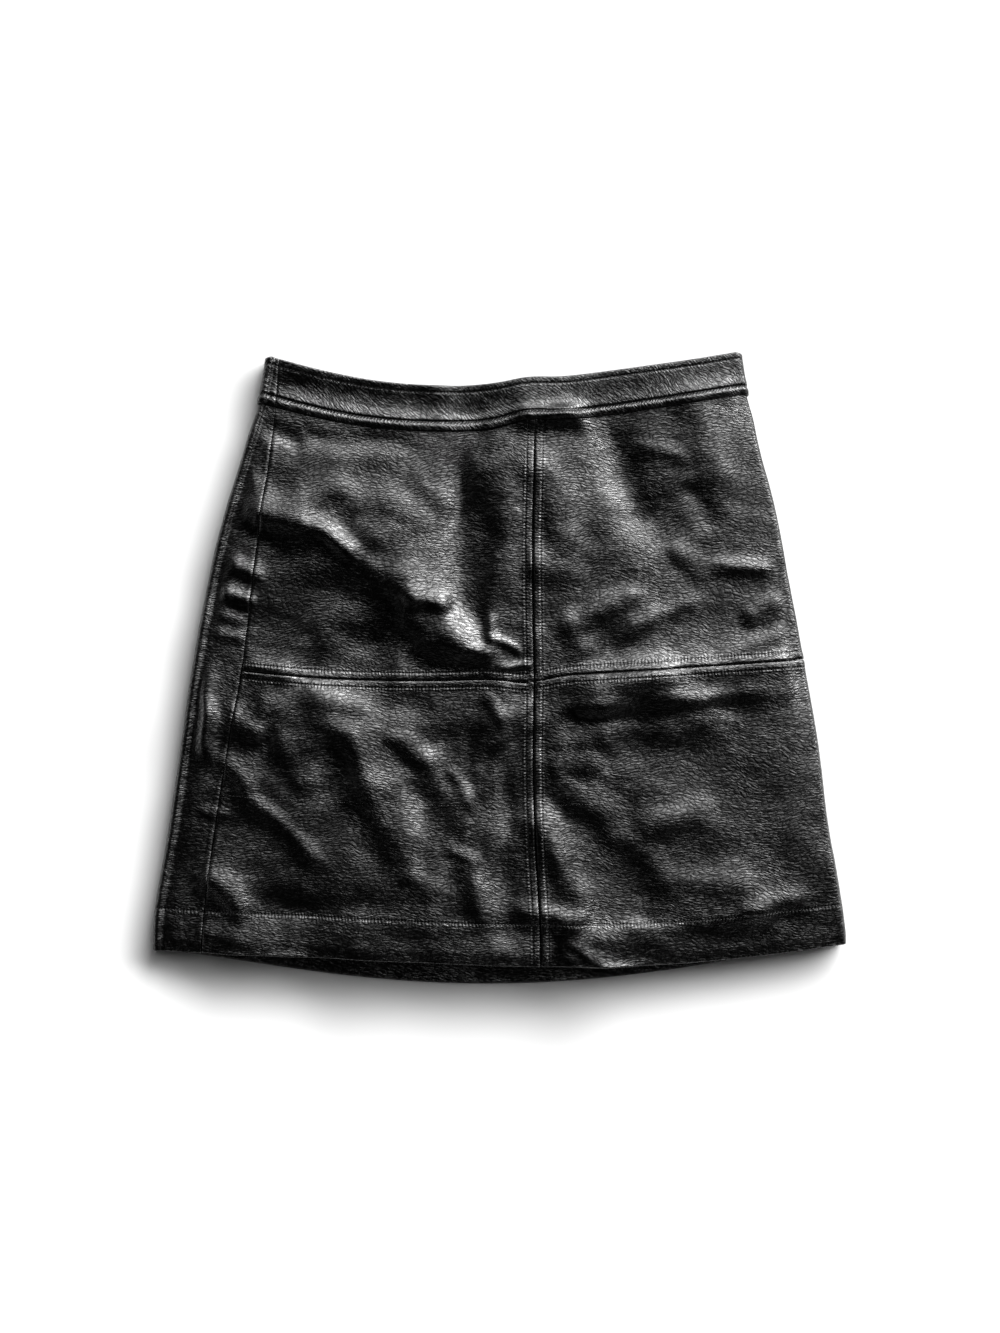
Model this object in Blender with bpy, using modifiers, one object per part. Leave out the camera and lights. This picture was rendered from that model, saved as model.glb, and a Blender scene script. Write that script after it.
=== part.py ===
"""Leather mini skirt, laid flat on its back.

The skirt is one flattened tube of leather. Its front lies on its back, with a
soft bend along each side. Every ring round the tube runs in one flat section:
a top run (the front), a bend on the right, a bottom run that rests on z = 0
(the back), and a bend on the left. The tube is turned a little, so the left
side seam shows on top and the right side seam lies underneath, where an
invisible zip closes it.

+X points to the wearer's left, +Y to the waist, +Z up. The tables are in
millimetres, and MM turns them into metres.
"""
import math
from collections import namedtuple
from functools import lru_cache

import bmesh
import bpy
from mathutils import Matrix

MM = 0.001
NAME = "leather_mini_skirt"

# ---------------------------------------------------------------- dimensions
LEATHER = 1.2            # one ply
BAND_PLY = 1.3           # outer ply of the waistband
GAP = 0.3                # clear space between two pieces
BEND_RADIUS = 4.5        # of the outer skin along both sides
BAND_BOTTOM = 34.0       # distance from the waist edge to the band's lower edge
LAP = 9.0                # how far the band laps over the panels
LAP_RELEASE = 10.0       # length over which a panel comes up from under the band
MID_SEAM = 226.0
HEM_STITCH = 404.0       # top of the turned-up hem
HEM = 434.0
STRIP = 5.6              # half width of a topstitched, pressed-open seam
STRIP_EDGE = 1.8         # its sloping edge
STRIP_RISE = 0.6
CELL = 11.0              # side of a facet
BEND_STEPS = 6
BACK_STEPS = 11
LIFT_CENTRE = 20.0       # where the centre seam pulls the rings up or down
LIFT_WIDTH = 18.0
TO_CENTRE = 1.8          # added to every Y, so that the outline's middle is the origin

# The invisible zip in the right side seam.
ZIP_LENGTH = 190.0
TAPE_HALF = 9.0
TAPE_THICK = 0.7
RECESS_RISE = 1.7        # the band stands this high over the pull tab
RECESS_FLAT = 4.5
RECESS_REACH = 14.0
RECESS_LENGTH = 17.0
RECESS_FADE = 6.0
TAPE_TOP = 3.0           # where the tape begins below the waist edge
SLIDER_WIDTH = 6.0
SLIDER_LENGTH = 8.5
SLIDER_HEIGHT = 2.2
SLIDER_PROUD = 0.4       # beyond the waist edge
SLIDER_ROUND = 0.5
NECK_HALF = 0.8          # half width of the neck
NECK_BACK = 2.0          # how far it runs back over the slider
NECK_CLEAR = 0.9         # clear of the waist edge
HINGE_OUT = 2.4          # hinge centre beyond the waist edge
HINGE_UP = 1.75          # and above the ground
EYE_RADIUS = 1.55
EYE_HOLE = 0.85
PIN_RADIUS = 0.5
ARM_WIDTH = 1.0
# Outline of the tab's arms in Y and Z from the hinge, above and below.
ARM_TOP = ((0.75, -0.7), (0.95, 0.0), (0.75, 0.7), (0.0, 0.95), (-0.9, 0.6), (-2.0, -0.4))
ARM_UNDER = ((-0.6, -0.75), (0.0, -0.95))
ARM_FOOT = 0.8           # how far the arms reach into the tab
TAB_START = 2.8          # from the hinge
TAB_END = 17.4
TAB_THICK = 1.0
TAB_HALF_TOP = 2.1
TAB_HALF_END = 2.7
TAB_ROUND = 2.2
TAB_FLOOR = 0.05         # the tab's lower face above the ground
ROUND_SIDES = 20
AIM_LENGTH = 15.0        # the stretch of seam that gives the zip's direction

# Rings round the tube, from the waist down. "down" is the distance from the
# waist edge. Left and right are the outermost points; the sags say how far the
# front and back runs hang below the straight line between them, and the power
# makes the back's sag blunt (below 1) or pointed. Skew leans the front's sag to
# one side, lift pulls it up at the centre seam, and crown is the height of the
# front's middle above the bends.
Ring = namedtuple("Ring", "down left_x left_y right_x right_y front_sag back_sag back_power skew lift crown")
RINGS = (
    Ring(0, -168.0, 223.5, 173.5, 226.0, 22.0, 27.0, 0.8, -3.8, 2.6, 3.3),
    Ring(34, -174.5, 190.0, 179.5, 195.8, 22.5, 27.0, 0.8, -4.0, 3.6, 3.9),
    Ring(75, -185.8, 150.0, 187.6, 155.0, 21.0, 26.0, 0.9, -3.6, 1.8, 4.3),
    Ring(115, -197.7, 111.0, 198.0, 116.0, 19.0, 25.0, 1.0, -3.2, 0.0, 4.6),
    Ring(160, -208.5, 67.0, 206.4, 72.0, 15.5, 24.0, 1.1, -2.8, -2.0, 4.6),
    Ring(226, -220.8, 1.0, 218.7, 5.0, 12.0, 24.0, 1.2, -2.5, -4.0, 4.6),
    Ring(285, -229.3, -57.0, 228.6, -53.0, 12.0, 24.5, 1.3, -0.5, -1.5, 4.6),
    Ring(345, -237.8, -116.0, 235.8, -112.0, 12.0, 25.5, 1.4, 1.5, 0.0, 4.6),
    Ring(404, -247.9, -174.0, 245.7, -170.3, 12.5, 26.5, 1.4, 2.6, 0.0, 4.6),
    Ring(434, -249.8, -204.5, 249.8, -199.4, 12.5, 27.0, 1.4, 3.4, 0.0, 4.6),
)

# Where the seams cross those rings. The left side seam and the centre seam lie
# on the top run. The right one lies underneath, "right_in" from the right edge.
Seam = namedtuple("Seam", "down left_x centre_x right_in")
SEAMS = (
    Seam(0, -158.4, 25.6, 28.0),
    Seam(34, -161.0, 25.4, 28.0),
    Seam(75, -165.5, 24.6, 24.0),
    Seam(115, -171.5, 23.8, 20.5),
    Seam(160, -176.8, 23.8, 17.5),
    Seam(226, -184.6, 24.8, 16.0),
    Seam(285, -195.0, 24.2, 16.0),
    Seam(345, -204.0, 25.6, 17.5),
    Seam(404, -211.5, 29.0, 19.0),
    Seam(434, -213.8, 29.5, 20.0),
)

# The largest folds of the front: soft ridges (rise > 0) and troughs (rise < 0)
# along a line from one end to the other.
Fold = namedtuple("Fold", "x0 y0 x1 y1 width rise")
FOLDS = (
    Fold(-176, 119, -106, 73, 10, 2.2),      # ridge from the left hip inwards
    Fold(-190, 98, -111, 47, 11, -1.6),      # trough below it
    Fold(-68, 63, -21, 12, 11, 2.6),         # belly ridge down to the crossing
    Fold(-93, 40, -50, 4, 10, -1.8),         # trough on its left
    Fold(-3, 190, -8, 19, 9, -2.6),          # long trough left of the centre seam
    Fold(17, 191, 21, 19, 10, 1.2),          # ridge that carries the centre seam
    Fold(80, 173, 137, 73, 14, -2.2),        # trough of the right hip
    Fold(54, 170, 101, 76, 12, 1.0),         # swell beside it
    Fold(-96, -50, -53, -129, 10, 2.6),      # ridge of the lower left panel
    Fold(-111, -89, -71, -154, 11, -2.0),    # trough outside it
    Fold(-21, -53, -32, -147, 10, -2.2),     # trough left of the lower centre seam
    Fold(-7, -118, -3, -200, 9, 1.2),        # swell at the hem's middle
    Fold(73, -68, 145, -118, 16, 1.6),       # swell of the lower right panel
    Fold(44, -82, 101, -161, 13, -1.4),      # trough under it
    Fold(159, -158, 231, -161, 9, 1.2),      # ridge above the right hem
    Fold(202, 47, 145, -53, 14, -1.4),       # trough across the right of the crossing
    Fold(-143, -53, -78, -39, 14, 1.8),      # swell under the left of the crossing
)


# ------------------------------------------------------------------ the rings
def place(x, y, z):
    """A point of the tables, in metres and in the part's own frame."""
    return (x * MM, (y + TO_CENTRE) * MM, z * MM)


def slope(rows, column, index):
    """Slope of a column at one row, from its neighbours."""
    low = max(index - 1, 0)
    high = min(index + 1, len(rows) - 1)
    rise = getattr(rows[high], column) - getattr(rows[low], column)
    return rise / (rows[high].down - rows[low].down)


def interpolate(rows, column, down):
    """Smooth cubic through a column of a table."""
    index = 0
    while index < len(rows) - 2 and rows[index + 1].down < down:
        index += 1
    here, there = rows[index], rows[index + 1]
    span = there.down - here.down
    t = (down - here.down) / span
    start, end = getattr(here, column), getattr(there, column)
    start_slope = slope(rows, column, index) * span
    end_slope = slope(rows, column, index + 1) * span
    return (
        start * (2 * t**3 - 3 * t**2 + 1)
        + start_slope * (t**3 - 2 * t**2 + t)
        + end * (3 * t**2 - 2 * t**3)
        + end_slope * (t**3 - t**2)
    )


@lru_cache(maxsize=None)
def ring(down):
    """The ring at one distance from the waist edge."""
    values = [down] + [interpolate(RINGS, column, down) for column in Ring._fields[1:]]
    return Ring(*values)


@lru_cache(maxsize=None)
def seam(down):
    """The seams at one distance from the waist edge."""
    values = [down] + [interpolate(SEAMS, column, down) for column in Seam._fields[1:]]
    return Seam(*values)


def front_y(x, down):
    """Height on the page of a point of the front."""
    r = ring(down)
    u = (x - r.left_x) / (r.right_x - r.left_x)
    chord = r.left_y + (r.right_y - r.left_y) * u
    sag = r.front_sag * 4 * u * (1 - u)
    lift = r.lift * math.exp(-(((x - LIFT_CENTRE) / LIFT_WIDTH) ** 2))
    return chord - sag + r.skew * math.sin(2 * math.pi * u) + lift


def back_y(x, down):
    """Height on the page of a point of the back."""
    r = ring(down)
    u = (x - r.left_x) / (r.right_x - r.left_x)
    chord = r.left_y + (r.right_y - r.left_y) * u
    return chord - r.back_sag * (4 * u * (1 - u)) ** r.back_power


def fold_height(x, y):
    """Sum of the folds at a point of the front."""
    total = 0.0
    for fold in FOLDS:
        run_x, run_y = fold.x1 - fold.x0, fold.y1 - fold.y0
        along = ((x - fold.x0) * run_x + (y - fold.y0) * run_y) / (run_x**2 + run_y**2)
        along = min(max(along, 0.0), 1.0)
        miss_x = x - fold.x0 - along * run_x
        miss_y = y - fold.y0 - along * run_y
        total += fold.rise * math.exp(-(miss_x**2 + miss_y**2) / (2 * fold.width**2))
    return total


def ease(t):
    """0 to 1 with level ends."""
    t = min(max(t, 0.0), 1.0)
    return t * t * (3 - 2 * t)


def top_height(x, y, down):
    """Height of the front's skin: bends, crown and folds."""
    r = ring(down)
    u = (x - r.left_x) / (r.right_x - r.left_x)
    crown = r.crown * (1 - abs(2 * u - 1) ** 4)
    from_edge = min(x - r.left_x, r.right_x - x)
    return 2 * BEND_RADIUS + crown + fold_height(x, y) * ease((from_edge - BEND_RADIUS) / 30.0)


def zip_seam_x(down):
    """The right side seam, underneath."""
    return ring(down).right_x - seam(down).right_in


def recess(x, down):
    """How high the band stands over the pull tab, underneath."""
    aside = abs(x - zip_seam_x(down))
    across = 1 - ease((aside - RECESS_FLAT) / (RECESS_REACH - RECESS_FLAT))
    along = 1 - ease((down - RECESS_LENGTH) / RECESS_FADE)
    return RECESS_RISE * across * along


# A column of points runs down the skirt in one zone of the tube: a share of
# the way across that zone, and a shift from there.
Column = namedtuple("Column", "zone share shift")


def zone_ends(zone, down):
    """X where a zone of the ring begins and ends, going round the tube."""
    r, s = ring(down), seam(down)
    left_bend = r.left_x + BEND_RADIUS
    right_bend = r.right_x - BEND_RADIUS
    return {
        "strip": (left_bend, s.left_x - GAP / 2),
        "left": (s.left_x + GAP / 2, s.centre_x - GAP / 2),
        "across": (s.centre_x, s.centre_x),
        "right": (s.centre_x + GAP / 2, right_bend),
        "under": (right_bend, zip_seam_x(down) + GAP / 2),
        "back": (zip_seam_x(down) - GAP / 2, left_bend),
    }[zone]


def skin_point(column, down, out):
    """A point of the tube, moved out from the skin (or in, below zero)."""
    r = ring(down)
    if column.zone == "right_bend":
        angle = math.pi * (0.5 - column.share)
        x_centre = r.right_x - BEND_RADIUS
        top_z = top_height(x_centre, front_y(x_centre, down), down)
        half = top_z / 2
        x = x_centre + (BEND_RADIUS + out) * math.cos(angle)
        z = half + (half + out) * math.sin(angle)
        y = front_y(x_centre, down) * (1 - column.share) + back_y(x_centre, down) * column.share
        return (x, y, z)
    if column.zone == "left_bend":
        angle = math.pi * (1.5 - column.share)
        x_centre = r.left_x + BEND_RADIUS
        top_z = top_height(x_centre, front_y(x_centre, down), down)
        half = top_z / 2
        x = x_centre + (BEND_RADIUS + out) * math.cos(angle)
        z = half + (half + out) * math.sin(angle)
        y = back_y(x_centre, down) * (1 - column.share) + front_y(x_centre, down) * column.share
        return (x, y, z)
    start, end = zone_ends(column.zone, down)
    x = start + (end - start) * column.share + column.shift
    if column.zone in ("under", "back"):
        return (x, back_y(x, down), recess(x, down) - out)
    y = front_y(x, down)
    return (x, y, top_height(x, y, down) + out)


def spread(zone, steps, first=0.0, last=0.0, ends=(True, True)):
    """Columns over a zone, evenly between two distances from its ends."""
    columns = []
    for step in range(steps + 1):
        if (step == 0 and not ends[0]) or (step == steps and not ends[1]):
            continue
        share = step / steps
        columns.append(Column(zone, share, first * (1 - share) - last * share))
    return columns


STRIP_FOOT = STRIP + STRIP_EDGE
RIGHT_BEND = [Column("right_bend", step / BEND_STEPS, 0) for step in range(1, BEND_STEPS)]
LEFT_BEND = [Column("left_bend", step / BEND_STEPS, 0) for step in range(1, BEND_STEPS)]
LEFT_COLUMNS = spread("left", 18, last=STRIP_FOOT) + [Column("left", 1, -STRIP), Column("left", 1, 0)]
RIGHT_COLUMNS = (
    [Column("right", 0, 0), Column("right", 0, STRIP)]
    + spread("right", 15, first=STRIP_FOOT)
    + RIGHT_BEND
    + spread("under", 2)
)
BACK_COLUMNS = spread("back", BACK_STEPS) + LEFT_BEND + spread("strip", 3)
RECESS_STEPS = (RECESS_REACH, (RECESS_FLAT + RECESS_REACH) / 2, RECESS_FLAT)
BAND_FRONT_COLUMNS = (
    LEFT_COLUMNS[:-1]
    + [Column("across", 0, 0)]
    + RIGHT_COLUMNS[1:-2]
    + [Column("under", 1, shift) for shift in RECESS_STEPS]
    + [Column("under", 1, 0)]
)
BAND_BACK_COLUMNS = (
    [Column("back", 0, 0)]
    + [Column("back", 0, -shift) for shift in reversed(RECESS_STEPS)]
    + BACK_COLUMNS[1:]
)


def rows_between(start, end):
    """Distances down the skirt from one to the other, about one facet apart."""
    steps = max(1, round((end - start) / CELL))
    return [start + (end - start) * step / steps for step in range(steps + 1)]


PANEL_TOP = BAND_BOTTOM - LAP
FACING_END = PANEL_TOP - 5 * GAP
BAND_ROWS = [0.0, 6.0, 12.0, RECESS_LENGTH, FACING_END, PANEL_TOP - 2 * GAP, BAND_BOTTOM]
UPPER_ROWS = (
    [PANEL_TOP, BAND_BOTTOM]
    + rows_between(BAND_BOTTOM + LAP_RELEASE, MID_SEAM - STRIP_FOOT)
    + [MID_SEAM - STRIP, MID_SEAM - GAP / 2]
)
LOWER_ROWS = (
    [MID_SEAM + GAP / 2, MID_SEAM + STRIP]
    + rows_between(MID_SEAM + STRIP_FOOT, HEM_STITCH)
    + [HEM_STITCH + STRIP_EDGE]
    + rows_between(HEM_STITCH + STRIP_EDGE, HEM)[1:]
)
BACK_ROWS = UPPER_ROWS[:-1] + LOWER_ROWS[2:]


# ------------------------------------------------------------ where they rise
def under_band(down):
    """How far a panel lies inside the skin where the band laps over it."""
    depth = BAND_PLY + GAP
    return -depth * (1 - ease((down - BAND_BOTTOM) / LAP_RELEASE))


def seam_rise(distance):
    """Rise of a topstitched seam's strip at a distance from the seam."""
    return STRIP_RISE * (1 - ease((abs(distance) - STRIP) / STRIP_EDGE))


def on_top(column):
    """1 on the front, fading round the right bend to 0 underneath."""
    if column.zone == "right_bend":
        return 1 - column.share
    return 0.0 if column.zone in ("under", "back", "left_bend", "strip") else 1.0


def panel_out(column, down):
    """Rise of a front panel: its lap under the band and its seam strips."""
    rise = seam_rise(down - MID_SEAM)
    if column.zone in ("left", "right"):
        x = skin_point(column, down, 0)[0]
        rise = max(rise, seam_rise(x - seam(down).centre_x))
    return under_band(down) + rise * on_top(column) * ease((down - BAND_BOTTOM) / LAP_RELEASE)


def back_out(column, down):
    """Rise of the back panel, which has no topstitched seam."""
    return under_band(down)


def band_out(column, down):
    """The waistband is the outermost skin."""
    return 0.0


# ------------------------------------------------------------------- building
def clear_scene():
    for old in list(bpy.data.objects):
        bpy.data.objects.remove(old, do_unlink=True)


def new_collection(name):
    collection = bpy.data.collections.new(name)
    bpy.context.scene.collection.children.link(collection)
    return collection


def material(name, colour, roughness, metallic):
    mat = bpy.data.materials.new(name)
    mat.use_nodes = True
    shader = mat.node_tree.nodes["Principled BSDF"]
    shader.inputs["Base Color"].default_value = (*colour, 1.0)
    shader.inputs["Roughness"].default_value = roughness
    shader.inputs["Metallic"].default_value = metallic
    return mat


def link(collection, mesh, name, mat):
    mesh.materials.clear()
    mesh.materials.append(mat)
    mesh.shade_smooth()
    mesh.set_sharp_from_angle(angle=math.radians(40))
    part = bpy.data.objects.new(name, mesh)
    collection.objects.link(part)
    return part


def sheet(collection, name, columns, rows, out, thin, thick, is_thick, mat):
    """A piece of leather: a grid laid on the skin and thickened inwards."""
    grid = bmesh.new()
    bmesh.ops.create_grid(grid, x_segments=len(columns) - 1, y_segments=len(rows) - 1, size=1)
    doubled = []
    for vertex in grid.verts:
        column = columns[round((vertex.co.x + 1) / 2 * (len(columns) - 1))]
        down = rows[round((1 - vertex.co.y) / 2 * (len(rows) - 1))]
        if is_thick(column, down):
            doubled.append(vertex.index)
        vertex.co = place(*skin_point(column, down, out(column, down)))
    mesh = bpy.data.meshes.new(name)
    grid.to_mesh(mesh)
    grid.free()
    part = link(collection, mesh, name, mat)
    wall = part.modifiers.new("wall", "SOLIDIFY")
    wall.thickness = thin * MM
    wall.offset = -1
    wall.use_even_offset = True
    if doubled:
        group = part.vertex_groups.new(name="doubled")
        group.add(doubled, 1.0, "REPLACE")
        wall.thickness = thick * MM
        wall.vertex_group = group.name
        wall.thickness_vertex_group = thin / thick


def in_hem(column, down):
    return down > HEM_STITCH


def in_facing(column, down):
    """The band's facing ends at the panels and beside the zip."""
    if down > FACING_END:
        return False
    if column.zone in ("under", "back"):
        x = skin_point(column, down, 0)[0]
        return abs(x - zip_seam_x(down)) > RECESS_REACH
    return True


def build_panels(collection, leather):
    panels = (
        ("front_upper_left", LEFT_COLUMNS, UPPER_ROWS, panel_out),
        ("front_upper_right", RIGHT_COLUMNS, UPPER_ROWS, panel_out),
        ("front_lower_left", LEFT_COLUMNS, LOWER_ROWS, panel_out),
        ("front_lower_right", RIGHT_COLUMNS, LOWER_ROWS, panel_out),
        ("back_panel", BACK_COLUMNS, BACK_ROWS, back_out),
    )
    for name, columns, rows, out in panels:
        sheet(collection, name, columns, rows, out, LEATHER, 2 * LEATHER, in_hem, leather)


def build_waistband(collection, leather):
    pieces = (("waistband_front", BAND_FRONT_COLUMNS), ("waistband_back", BAND_BACK_COLUMNS))
    for name, columns in pieces:
        sheet(collection, name, columns, BAND_ROWS, band_out, BAND_PLY, 2 * BAND_PLY, in_facing, leather)


# ------------------------------------------------------------------- the zip
def cloth_inside(down):
    """Inner face of the leather beside the zip, above the ground."""
    if down < PANEL_TOP:
        return BAND_PLY
    return LEATHER - under_band(down)


def tape_height(x, down):
    """Lower face of the zip's tape."""
    return recess(x, down) + cloth_inside(down) + GAP


def build_zip_tape(collection, mat):
    """The two tapes and the closed coil, one strip inside the seam."""
    rows = [TAPE_TOP] + BAND_ROWS[1:4] + rows_between(PANEL_TOP, ZIP_LENGTH)
    shifts = (-TAPE_HALF, -RECESS_FLAT, RECESS_FLAT, TAPE_HALF)
    grid = bmesh.new()
    bmesh.ops.create_grid(grid, x_segments=len(shifts) - 1, y_segments=len(rows) - 1, size=1)
    for vertex in grid.verts:
        shift = shifts[round((vertex.co.x + 1) / 2 * (len(shifts) - 1))]
        down = rows[round((1 - vertex.co.y) / 2 * (len(rows) - 1))]
        x = zip_seam_x(down) + shift
        z = tape_height(x, down) + TAPE_THICK
        vertex.co = place(x, back_y(x, down), z)
    mesh = bpy.data.meshes.new("zip_tape")
    grid.to_mesh(mesh)
    grid.free()
    part = link(collection, mesh, "zip_tape", mat)
    wall = part.modifiers.new("wall", "SOLIDIFY")
    wall.thickness = TAPE_THICK * MM
    wall.offset = -1


def zip_frame():
    """Where the zip ends at the waist edge: x across it, y up along it."""
    x_top, x_foot = zip_seam_x(0.0), zip_seam_x(AIM_LENGTH)
    y_top, y_foot = back_y(x_top, 0.0), back_y(x_foot, AIM_LENGTH)
    turn = math.atan2(x_foot - x_top, y_top - y_foot)
    return Matrix.Translation(place(x_top, y_top, 0)) @ Matrix.Rotation(turn, 4, "Z")


def block(low, high, rounding=0.0):
    """A box between two corners, in millimetres, with rounded edges."""
    shape = bmesh.new()
    bmesh.ops.create_cube(shape, size=1)
    for vertex in shape.verts:
        for axis in range(3):
            vertex.co[axis] = (low[axis] if vertex.co[axis] < 0 else high[axis]) * MM
    if rounding:
        bmesh.ops.bevel(
            shape, geom=shape.edges[:], offset=rounding * MM, segments=2, profile=0.5, affect="EDGES"
        )
    return shape


def rod(radius, half_length, y, z):
    """A round bar along X, in millimetres."""
    shape = bmesh.new()
    bmesh.ops.create_cone(
        shape, cap_ends=True, segments=ROUND_SIDES,
        radius1=radius * MM, radius2=radius * MM, depth=2 * half_length * MM,
        matrix=Matrix.Translation((0, y * MM, z * MM)) @ Matrix.Rotation(math.pi / 2, 4, "Y"),
    )
    return shape


def plate(outline, low, high):
    """An outline in Y and Z, in millimetres, filled between two X."""
    shape = bmesh.new()
    corners = [shape.verts.new((low * MM, y * MM, z * MM)) for y, z in outline]
    face = shape.faces.new(corners)
    pushed = bmesh.ops.extrude_face_region(shape, geom=[face])
    moved = [item for item in pushed["geom"] if isinstance(item, bmesh.types.BMVert)]
    bmesh.ops.translate(shape, verts=moved, vec=((high - low) * MM, 0, 0))
    bmesh.ops.recalc_face_normals(shape, faces=shape.faces[:])
    return shape


def to_object(collection, shape, name, mat):
    mesh = bpy.data.meshes.new(name)
    shape.to_mesh(mesh)
    shape.free()
    return link(collection, mesh, name, mat)


def combine(part, tools, cutters, operation):
    """Join tools to a part, or cut them out of it."""
    for index, shape in enumerate(tools):
        tool = to_object(cutters, shape, f"{part.name}_{operation.lower()}_{index}", part.data.materials[0])
        tool.matrix_world = part.matrix_world
        tool.hide_render = True
        tool.display_type = "WIRE"
        step = part.modifiers.new(tool.name, "BOOLEAN")
        step.operation = operation
        step.object = tool


def build_slider(collection, cutters, mat, frame):
    """Slider inside the waist, its neck bent over the edge to an eye outside."""
    floor = RECESS_RISE + BAND_PLY + GAP + TAPE_THICK + GAP
    roof = floor + SLIDER_HEIGHT
    half = SLIDER_WIDTH / 2
    body = block((-half, -SLIDER_LENGTH, floor), (half, SLIDER_PROUD, roof), SLIDER_ROUND)
    slider = to_object(collection, body, "zip_slider", mat)
    slider.matrix_world = frame
    low, high = floor + SLIDER_ROUND, roof - SLIDER_ROUND
    far = HINGE_OUT + EYE_RADIUS
    outline = (
        (-NECK_BACK, low), (NECK_CLEAR, low), (NECK_CLEAR, HINGE_UP), (far, HINGE_UP),
        (far, low), (HINGE_OUT, high), (-NECK_BACK, high),
    )
    neck = plate(outline, -NECK_HALF, NECK_HALF)
    eye = rod(EYE_RADIUS, NECK_HALF, HINGE_OUT, HINGE_UP)
    hole = rod(EYE_HOLE, 2 * NECK_HALF, HINGE_OUT, HINGE_UP)
    combine(slider, [neck, eye], cutters, "UNION")
    combine(slider, [hole], cutters, "DIFFERENCE")


def build_pull_tab(collection, cutters, mat, frame):
    """Pull tab: two arms on a pin through the eye, and a flat teardrop."""
    low = TAB_FLOOR - HINGE_UP
    high = low + TAB_THICK
    middle = -(TAB_START + TAB_END) / 2 * MM
    shape = block((-TAB_HALF_TOP, -TAB_END, low), (TAB_HALF_TOP, -TAB_START, high))
    for vertex in shape.verts:
        if vertex.co.y < middle:
            vertex.co.x *= TAB_HALF_END / TAB_HALF_TOP
    corners = [
        edge for edge in shape.edges
        if all(vertex.co.y < middle for vertex in edge.verts)
        and abs(edge.verts[0].co.z - edge.verts[1].co.z) > TAB_THICK / 2 * MM
    ]
    bmesh.ops.bevel(shape, geom=corners, offset=TAB_ROUND * MM, segments=5, profile=0.5, affect="EDGES")
    tab = to_object(collection, shape, "zip_pull_tab", mat)
    tab.matrix_world = frame @ Matrix.Translation((0, HINGE_OUT * MM, HINGE_UP * MM))
    foot = -TAB_START - ARM_FOOT
    outline = ARM_TOP + ((foot, high), (foot, low)) + ARM_UNDER
    inner = NECK_HALF + GAP
    outer = inner + ARM_WIDTH
    arms = [plate(outline, inner, outer), plate(outline, -outer, -inner)]
    pin = rod(PIN_RADIUS, (inner + outer) / 2, 0, 0)
    combine(tab, arms + [pin], cutters, "UNION")


def main():
    clear_scene()
    collection = new_collection(NAME)
    cutters = new_collection(NAME + "_cutters")
    leather = material("black_leather", (0.012, 0.012, 0.013), 0.38, 0.0)
    tape = material("zip_tape", (0.010, 0.010, 0.011), 0.85, 0.0)
    metal = material("blackened_metal", (0.030, 0.030, 0.032), 0.35, 1.0)
    build_panels(collection, leather)
    build_waistband(collection, leather)
    build_zip_tape(collection, tape)
    frame = zip_frame()
    build_slider(collection, cutters, metal, frame)
    build_pull_tab(collection, cutters, metal, frame)


main()
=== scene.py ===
"""Looks of the leather mini skirt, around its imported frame.

Every leather piece is a thin closed shell on the form of its CAD solid: the
same rings, seams and large folds, with finer creases, rolled seams, stitch
grooves and puckers. The tables are in millimetres, as in the part's source, but
for the places of the creases, which are in steps of PIXEL.
"""
import math
from collections import namedtuple

import bpy
import numpy as np
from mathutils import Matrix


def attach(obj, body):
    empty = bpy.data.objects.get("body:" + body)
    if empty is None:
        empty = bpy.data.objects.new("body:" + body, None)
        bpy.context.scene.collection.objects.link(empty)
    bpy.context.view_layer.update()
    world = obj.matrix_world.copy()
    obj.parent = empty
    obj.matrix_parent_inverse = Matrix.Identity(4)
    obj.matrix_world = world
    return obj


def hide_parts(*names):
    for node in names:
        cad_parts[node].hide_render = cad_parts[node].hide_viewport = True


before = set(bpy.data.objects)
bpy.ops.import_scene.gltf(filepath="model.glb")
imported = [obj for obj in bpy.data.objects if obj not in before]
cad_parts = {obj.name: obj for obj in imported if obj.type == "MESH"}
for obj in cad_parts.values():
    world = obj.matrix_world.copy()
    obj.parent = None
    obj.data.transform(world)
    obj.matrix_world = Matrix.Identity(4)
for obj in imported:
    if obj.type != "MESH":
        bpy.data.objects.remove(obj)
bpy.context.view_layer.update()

MM = 0.001

# ---------------- dimensions, as in the part
LEATHER = 1.2
BAND_PLY = 1.3
GAP = 0.3
BEND_RADIUS = 4.5
BAND_BOTTOM = 34.0
LAP = 9.0
LAP_RELEASE = 10.0
MID_SEAM = 226.0
HEM_STITCH = 404.0
HEM = 434.0
STRIP = 5.6
STRIP_EDGE = 1.8
STRIP_RISE = 0.6
LIFT_CENTRE = 20.0
LIFT_WIDTH = 18.0
TO_CENTRE = 1.8
RECESS_RISE = 1.7
RECESS_FLAT = 4.5
RECESS_REACH = 14.0
RECESS_LENGTH = 17.0
RECESS_FADE = 6.0
PANEL_TOP = BAND_BOTTOM - LAP
TAPE_THICK = 0.7
SLIDER_LENGTH = 8.5
ZIP_LENGTH = 190.0

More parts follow.
